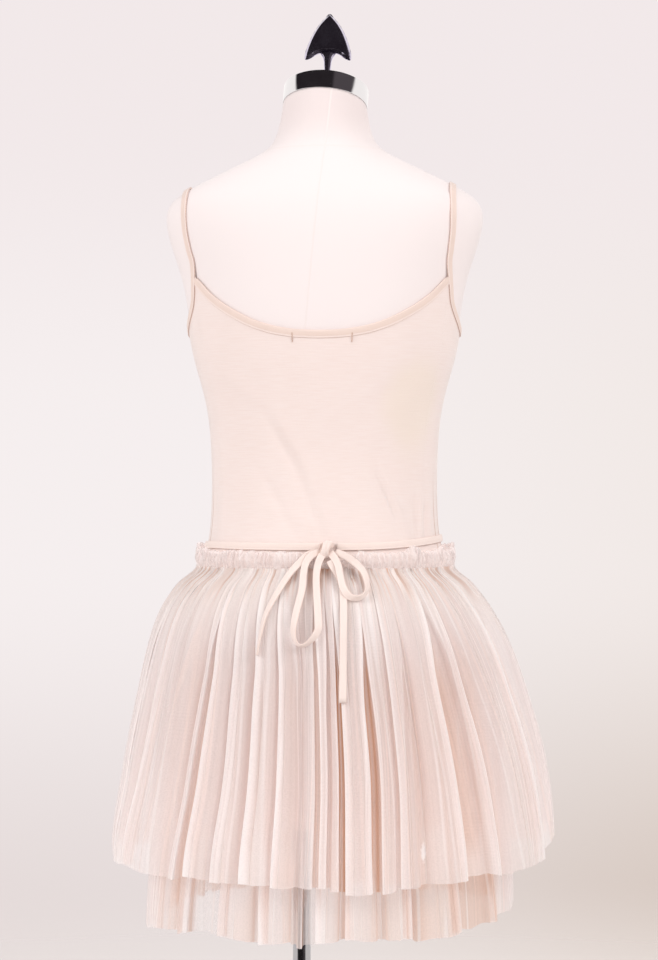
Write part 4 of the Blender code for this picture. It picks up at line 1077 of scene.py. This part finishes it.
# Painted shade along the first fine lines and in the gathers below the seam, painted highlights along the
# second fine lines and the fold edges, and the crumpled patch.
for share, colour in (
    (darkest_shade, TULLE_DARKEST_SHADE), (lines[0] * 0.28, TULLE_SHADE), (lines[1] * 0.50, TULLE_HIGHLIGHT),
    (pleats * 0.80, GATHER_SHADE), (edge * 0.7, TULLE_HIGHLIGHT), (crumpled * 0.9, CRUMPLE),
):
    tone = blend_colours(share, tone, colour)
feed(shader.inputs["Base Color"], tone)
glow = source(tree, "BsdfTranslucent", 0, {"Color": tone})
cloth = source(tree, "MixShader", 0, {0: THROUGH_LIGHT, 1: Signal(shader.outputs[0]), 2: glow})
clear = source(tree, "BsdfTransparent", 0)
net = source(tree, "MixShader", 0, {0: density, 1: clear, 2: cloth})
feed(tree.nodes["Material Output"].inputs["Surface"], net)

sides = ("back", "front")
lower_solids, upper_solids = ([f"{layer}_layer_{side}" for side in sides] for layer in ("lower", "upper"))
lower = hang_layer("tulle_under_layer", LOWER, LOWER_FOLDS, lower_solids, (1.80, 0.39), 3)
upper = hang_layer("tulle_top_layer", UPPER, UPPER_FOLDS, upper_solids, (2.34, 0.375), 11)

# Heading. The upper layer's edge stands up above the seam as a ruffle of close, soft flutes; it is
# pressed down where the bow's knot lies on it, and puffs out over the side seams.
RUFFLE = [Ring(*row) for row in (
    (0.9168, 0.1410, 0.1043, 0.1043, 0.001, 0.0018, 2.20),
    (0.9240, 0.1440, 0.1080, 0.1080, 0.001, 0.0045, 2.20),
    (0.9335, 0.1435, 0.1085, 0.1085, 0.001, 0.0080, 2.20),
)]
FLUTES = 118
RUFFLE_COLUMNS = 1416
RUFFLE_ROWS = 14
RUFFLE_TOP_FRONT = 0.9385
FLUTE_UNEVEN = 0.0009
TOP_UNEVEN = 0.0024
TOP_SCALLOP = 0.0010
PUCKER_DOWN = 0.0028
PUCKER_OUT = 0.0042
KNOT_X = 0.0090
PRESSED_HALF = 0.030
PRESSED_TO = 0.35
Puff = namedtuple("Puff", "angle half rise out")
PUFFS = [Puff(*row) for row in (
    (-88, 10, 0.0030, 0.0004), (-66, 7, 0.0030, 0.0010), (-40, 6, 0.0014, 0.0), (-52, 4, -0.0010, 0.0),
    (30, 9, -0.0016, 0.0), (43, 3.4, 0.0066, 0.0024), (64, 3.0, 0.0052, 0.0016), (88, 8, 0.0034, 0.0008),
    (150, 14, 0.0025, 0.0), (205, 12, 0.0020, 0.001),
)]


def flute_phase(angle, v):
    """Where this place lies between one flute's crown and the next."""
    wander = 1.9 * noise((angle * 0.21, 0.4, 7)) + 0.9 * noise((angle * 0.7, v * 1.2, 11))
    return math.radians(FLUTES * (angle + wander * 1.6))


def flute(u, v):
    """A point of the ruffle: v runs up from the seam."""
    angle = -90 + 360 * u
    phase = flute_phase(angle, v)
    fullness = 0.62 + 0.38 * noise((angle * 0.33, v * 1.5, 23))
    ring = smooth_reading(RUFFLE, RUFFLE[0].z + (RUFFLE[-1].z - RUFFLE[0].z) * v)
    inset = ring.fold * (0.5 + 0.5 * math.cos(phase) * min(fullness, 1))
    inset += FLUTE_UNEVEN * noise((angle, v * 3, 31))
    lean = 0.85 * v * math.sin(phase + 2.2 * noise((angle * 0.11, 3, 1)))
    lift, out = 0.0, 0.0
    for puff in PUFFS:
        near = math.exp(-((((angle - puff.angle + 180) % 360 - 180) / puff.half) ** 2))
        lift, out = lift + puff.rise * near, out + puff.out * near * v
    inset -= out
    x, y = oval(angle + lean, ring.width - inset, ring.back - inset, ring.front - inset, ring.roundness)
    at_back = math.cos(math.radians(angle)) > 0
    top = RUFFLE[-1].z if at_back else RUFFLE_TOP_FRONT
    top += lift + TOP_UNEVEN * noise((angle * 0.35, 1, 5)) + TOP_SCALLOP * math.cos(phase)
    if at_back:
        away = min(abs(x - KNOT_X) / PRESSED_HALF, 1)
        top = RUFFLE[0].z + (top - RUFFLE[0].z) * (PRESSED_TO + (1 - PRESSED_TO) * away**2)
    pucker = max(noise((angle * 0.60, 2, 41)) + 0.15, 0) * max(1 - 4 * v, 0)
    height = RUFFLE[0].z - PUCKER_DOWN * pucker + (top - RUFFLE[0].z) * v
    facing = Vector((x, y, 0)).normalized()
    return Vector((body_x + ring.drift + x, y, height)) + facing * PUCKER_OUT * pucker


bm = shaped_grid(RUFFLE_COLUMNS, RUFFLE_ROWS, flute, (0.95, 0.012))
painted_shade, edge = bm.verts.layers.float.new("painted_shade"), bm.verts.layers.float.new("edge")
# Painted shade in the hollows between the flutes and in the gathers at the seam, and a painted highlight
# on the flutes' crowns and along the top; where there is little shade the net is a little sheerer.
for k, vert in enumerate(bm.verts):
    v = k // (RUFFLE_COLUMNS + 1) / RUFFLE_ROWS
    angle = -90 + 360 * (k % (RUFFLE_COLUMNS + 1)) / RUFFLE_COLUMNS
    gap = 0.5 + 0.5 * math.cos(flute_phase(angle, v))
    gather = max(noise((angle * 1.7, 3, 19)), 0)
    vert[painted_shade] = 0.34 * gap**2 + 1.1 * gather * (1 - v) ** 5 - 0.10
    vert[edge] = 0.20 * (1 - gap) + 0.5 * max(v - 0.75, 0)
heading = put("gathered_heading", bm, tulle_cloth)
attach(heading, "root")
for side in sides:
    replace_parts(heading, f"skirt_heading_{side}")

# Tie and bow. A flat tube of jersey lies round the back of the waist over the slip, is tied in a
# small knot a little to the right of the middle, and ends in two loops and two free tails.
TIE = 0.0080
TIE_WALL = 0.0020
Waist = namedtuple("Waist", "angle z")
TIE_LEFT = [Waist(*row) for row in (
    (-85.0, 0.9383), (-66.5, 0.9390), (-48.1, 0.9386), (-24.1, 0.9384), (1.0, 0.9384),
)]
TIE_RIGHT = [Waist(*row) for row in (
    (10.6, 0.9384), (33.8, 0.9390), (51.7, 0.9410), (68.0, 0.9440), (85.0, 0.9462),
)]
TIE_OUT = 0.0044
TIE_STEPS = 60
TIE_UNEVEN = 0.05
SKIRT_RINGS = [*UPPER[:-1], *RUFFLE[1:], Ring(0.9450, 0.140, 0.1040, 0.1055, 0.001, 0, 2.2)]
Lie = namedtuple("Lie", "x z lift twist")
LOOP_LEFT = [Lie(*row) for row in (
    (0.0005, 0.9352, -0.0066, 0), (-0.0075, 0.9308, -0.0014, 5), (-0.0132, 0.9230, 0.0030, 8),
    (-0.0155, 0.9100, 0.0036, 12), (-0.0165, 0.8926, 0.0036, 8), (-0.0215, 0.8695, 0.0038, 14),
    (-0.0236, 0.8512, 0.0044, 44), (-0.0200, 0.8402, 0.0050, 74), (-0.0138, 0.8372, 0.0052, 82),
    (-0.0058, 0.8423, 0.0048, 66), (0.0004, 0.8504, 0.0042, 34), (0.0020, 0.8594, 0.0038, 14),
    (0.0000, 0.8806, 0.0036, -6), (-0.0020, 0.9038, 0.0036, -12), (-0.0012, 0.9170, 0.0034, -4),
    (0.0008, 0.9255, 0.0014, 0), (0.0040, 0.9325, -0.0040, 0),
)]
TAIL_LEFT = [Lie(*row) for row in (
    (-0.0040, 0.9362, -0.0100, 0), (-0.0120, 0.9305, -0.0036, 8), (-0.0195, 0.9235, 0.0010, 12),
    (-0.0310, 0.9098, 0.0014, 10), (-0.0450, 0.8863, 0.0016, 18), (-0.0542, 0.8661, 0.0024, 40),
    (-0.0595, 0.8386, 0.0034, 60), (-0.0608, 0.8277, 0.0036, 64),
)]
LOOP_RIGHT = [Lie(*row) for row in (
    (0.0118, 0.9335, -0.0060, 0), (0.0165, 0.9275, 0.0000, 0), (0.0200, 0.9190, 0.0040, 0),
    (0.0228, 0.9062, 0.0042, -4), (0.0262, 0.8947, 0.0042, 14), (0.0318, 0.8866, 0.0046, 48),
    (0.0410, 0.8836, 0.0050, 80), (0.0484, 0.8876, 0.0050, 72), (0.0506, 0.8965, 0.0046, 44),
    (0.0468, 0.9108, 0.0038, 12), (0.0376, 0.9225, 0.0034, 0), (0.0280, 0.9300, 0.0002, 0),
    (0.0170, 0.9362, -0.0072, 0),
)]
TAIL_RIGHT = [Lie(*row) for row in (
    (0.0116, 0.9248, -0.0004, 0), (0.0144, 0.9190, 0.0016, 0), (0.0215, 0.9080, 0.0012, 8),
    (0.0262, 0.8947, 0.0012, 6), (0.0276, 0.8650, 0.0012, 0), (0.0278, 0.8341, 0.0014, -14),
    (0.0278, 0.7805, 0.0012, 8),
)]
KNOT = Vector((body_x + KNOT_X - 0.0028, -0.1010, 0.9362))
KNOT_SIZE = Vector((0.0122, 0.0150, 0.0196))


def over_skirt(x, z, lift):
    """A point this far outside the ruffle and the upper layer at the back, and the way it faces."""
    def depth(x, z):
        ring = smooth_reading(SKIRT_RINGS, z)
        share = min(abs(x - ring.drift) / ring.width, 0.999)
        return -ring.back * (1 - share**ring.roundness) ** (1 / ring.roundness)

    step = 0.001
    slope_x = (depth(x + step, z) - depth(x - step, z)) / (2 * step)
    slope_z = (depth(x, z + step) - depth(x, z - step)) / (2 * step)
    facing = Vector((slope_x, -1, slope_z)).normalized()
    return Vector((body_x + x, depth(x, z), z)) + facing * lift, facing


for side, rows in (("left", TIE_LEFT), ("right", TIE_RIGHT)):
    stations = []
    for k in range(TIE_STEPS + 1):
        angle = rows[0].angle + (rows[-1].angle - rows[0].angle) * k / TIE_STEPS
        spot, facing = on_body(angle, smooth_reading(rows, angle).z, TIE_OUT)
        width = TIE * (1 + TIE_UNEVEN * noise((angle * 0.1, 2, 2)))
        stations.append(Station(spot, facing, width, 0.0))
    piece = band(f"waist_tie_{side}", stations, TIE_WALL, tie_cloth)
    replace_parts(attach(piece, "root"), f"tie_{side}")

for name, solid, rows, length, far_end in (
    ("loop_left_cord", "bow_loop_left", LOOP_LEFT, 0.240, "object"),
    ("loop_right_cord", "bow_loop_right", LOOP_RIGHT, 0.147, "object"),
    ("tail_left_cord", "bow_tail_left", TAIL_LEFT, 0.137, "bare"),
    ("tail_right_cord", "bow_tail_right", TAIL_RIGHT, 0.162, "bare"),
):
    lies = [Station(*over_skirt(row.x, row.z, row.lift), TIE, math.radians(row.twist)) for row in rows]
    stations = smoothed(lies, 6)
    path = [tuple(s.place) for s in stations]
    piece = band(name, stations, TIE_WALL, tie_cloth)
    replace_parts(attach(piece, "root"), solid)
    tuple(path[0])


def knot_point(u, v):
    """A point of the knot: one band wrapped over the crossing strips, a little askew."""
    turn, across = math.tau * u, 2 * v - 1
    pinch = 1 - 0.16 * math.cos(turn * 2) - 0.10 * math.sin(turn)
    swell = (1 - 0.42 * abs(across) ** 3.0) * (1 + 0.05 * math.cos(7.5 * across + 1.3 * math.sin(turn)))
    x = KNOT_SIZE.x / 2 * across * pinch + 0.0026 * math.sin(turn)
    if abs(across) > 0.999:
        swell *= 0.55
    y, z = -KNOT_SIZE.y / 2 * swell * math.cos(turn), KNOT_SIZE.z / 2 * swell * math.sin(turn)
    return KNOT + Vector((x, y, z))


bm = shaped_grid(64, 30, knot_point, (0.055, 10 / len(BAND_SECTION)))
knot = put("bow_knot_wrap", closed(bm), tie_cloth)
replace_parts(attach(knot, "root"), "bow_knot")
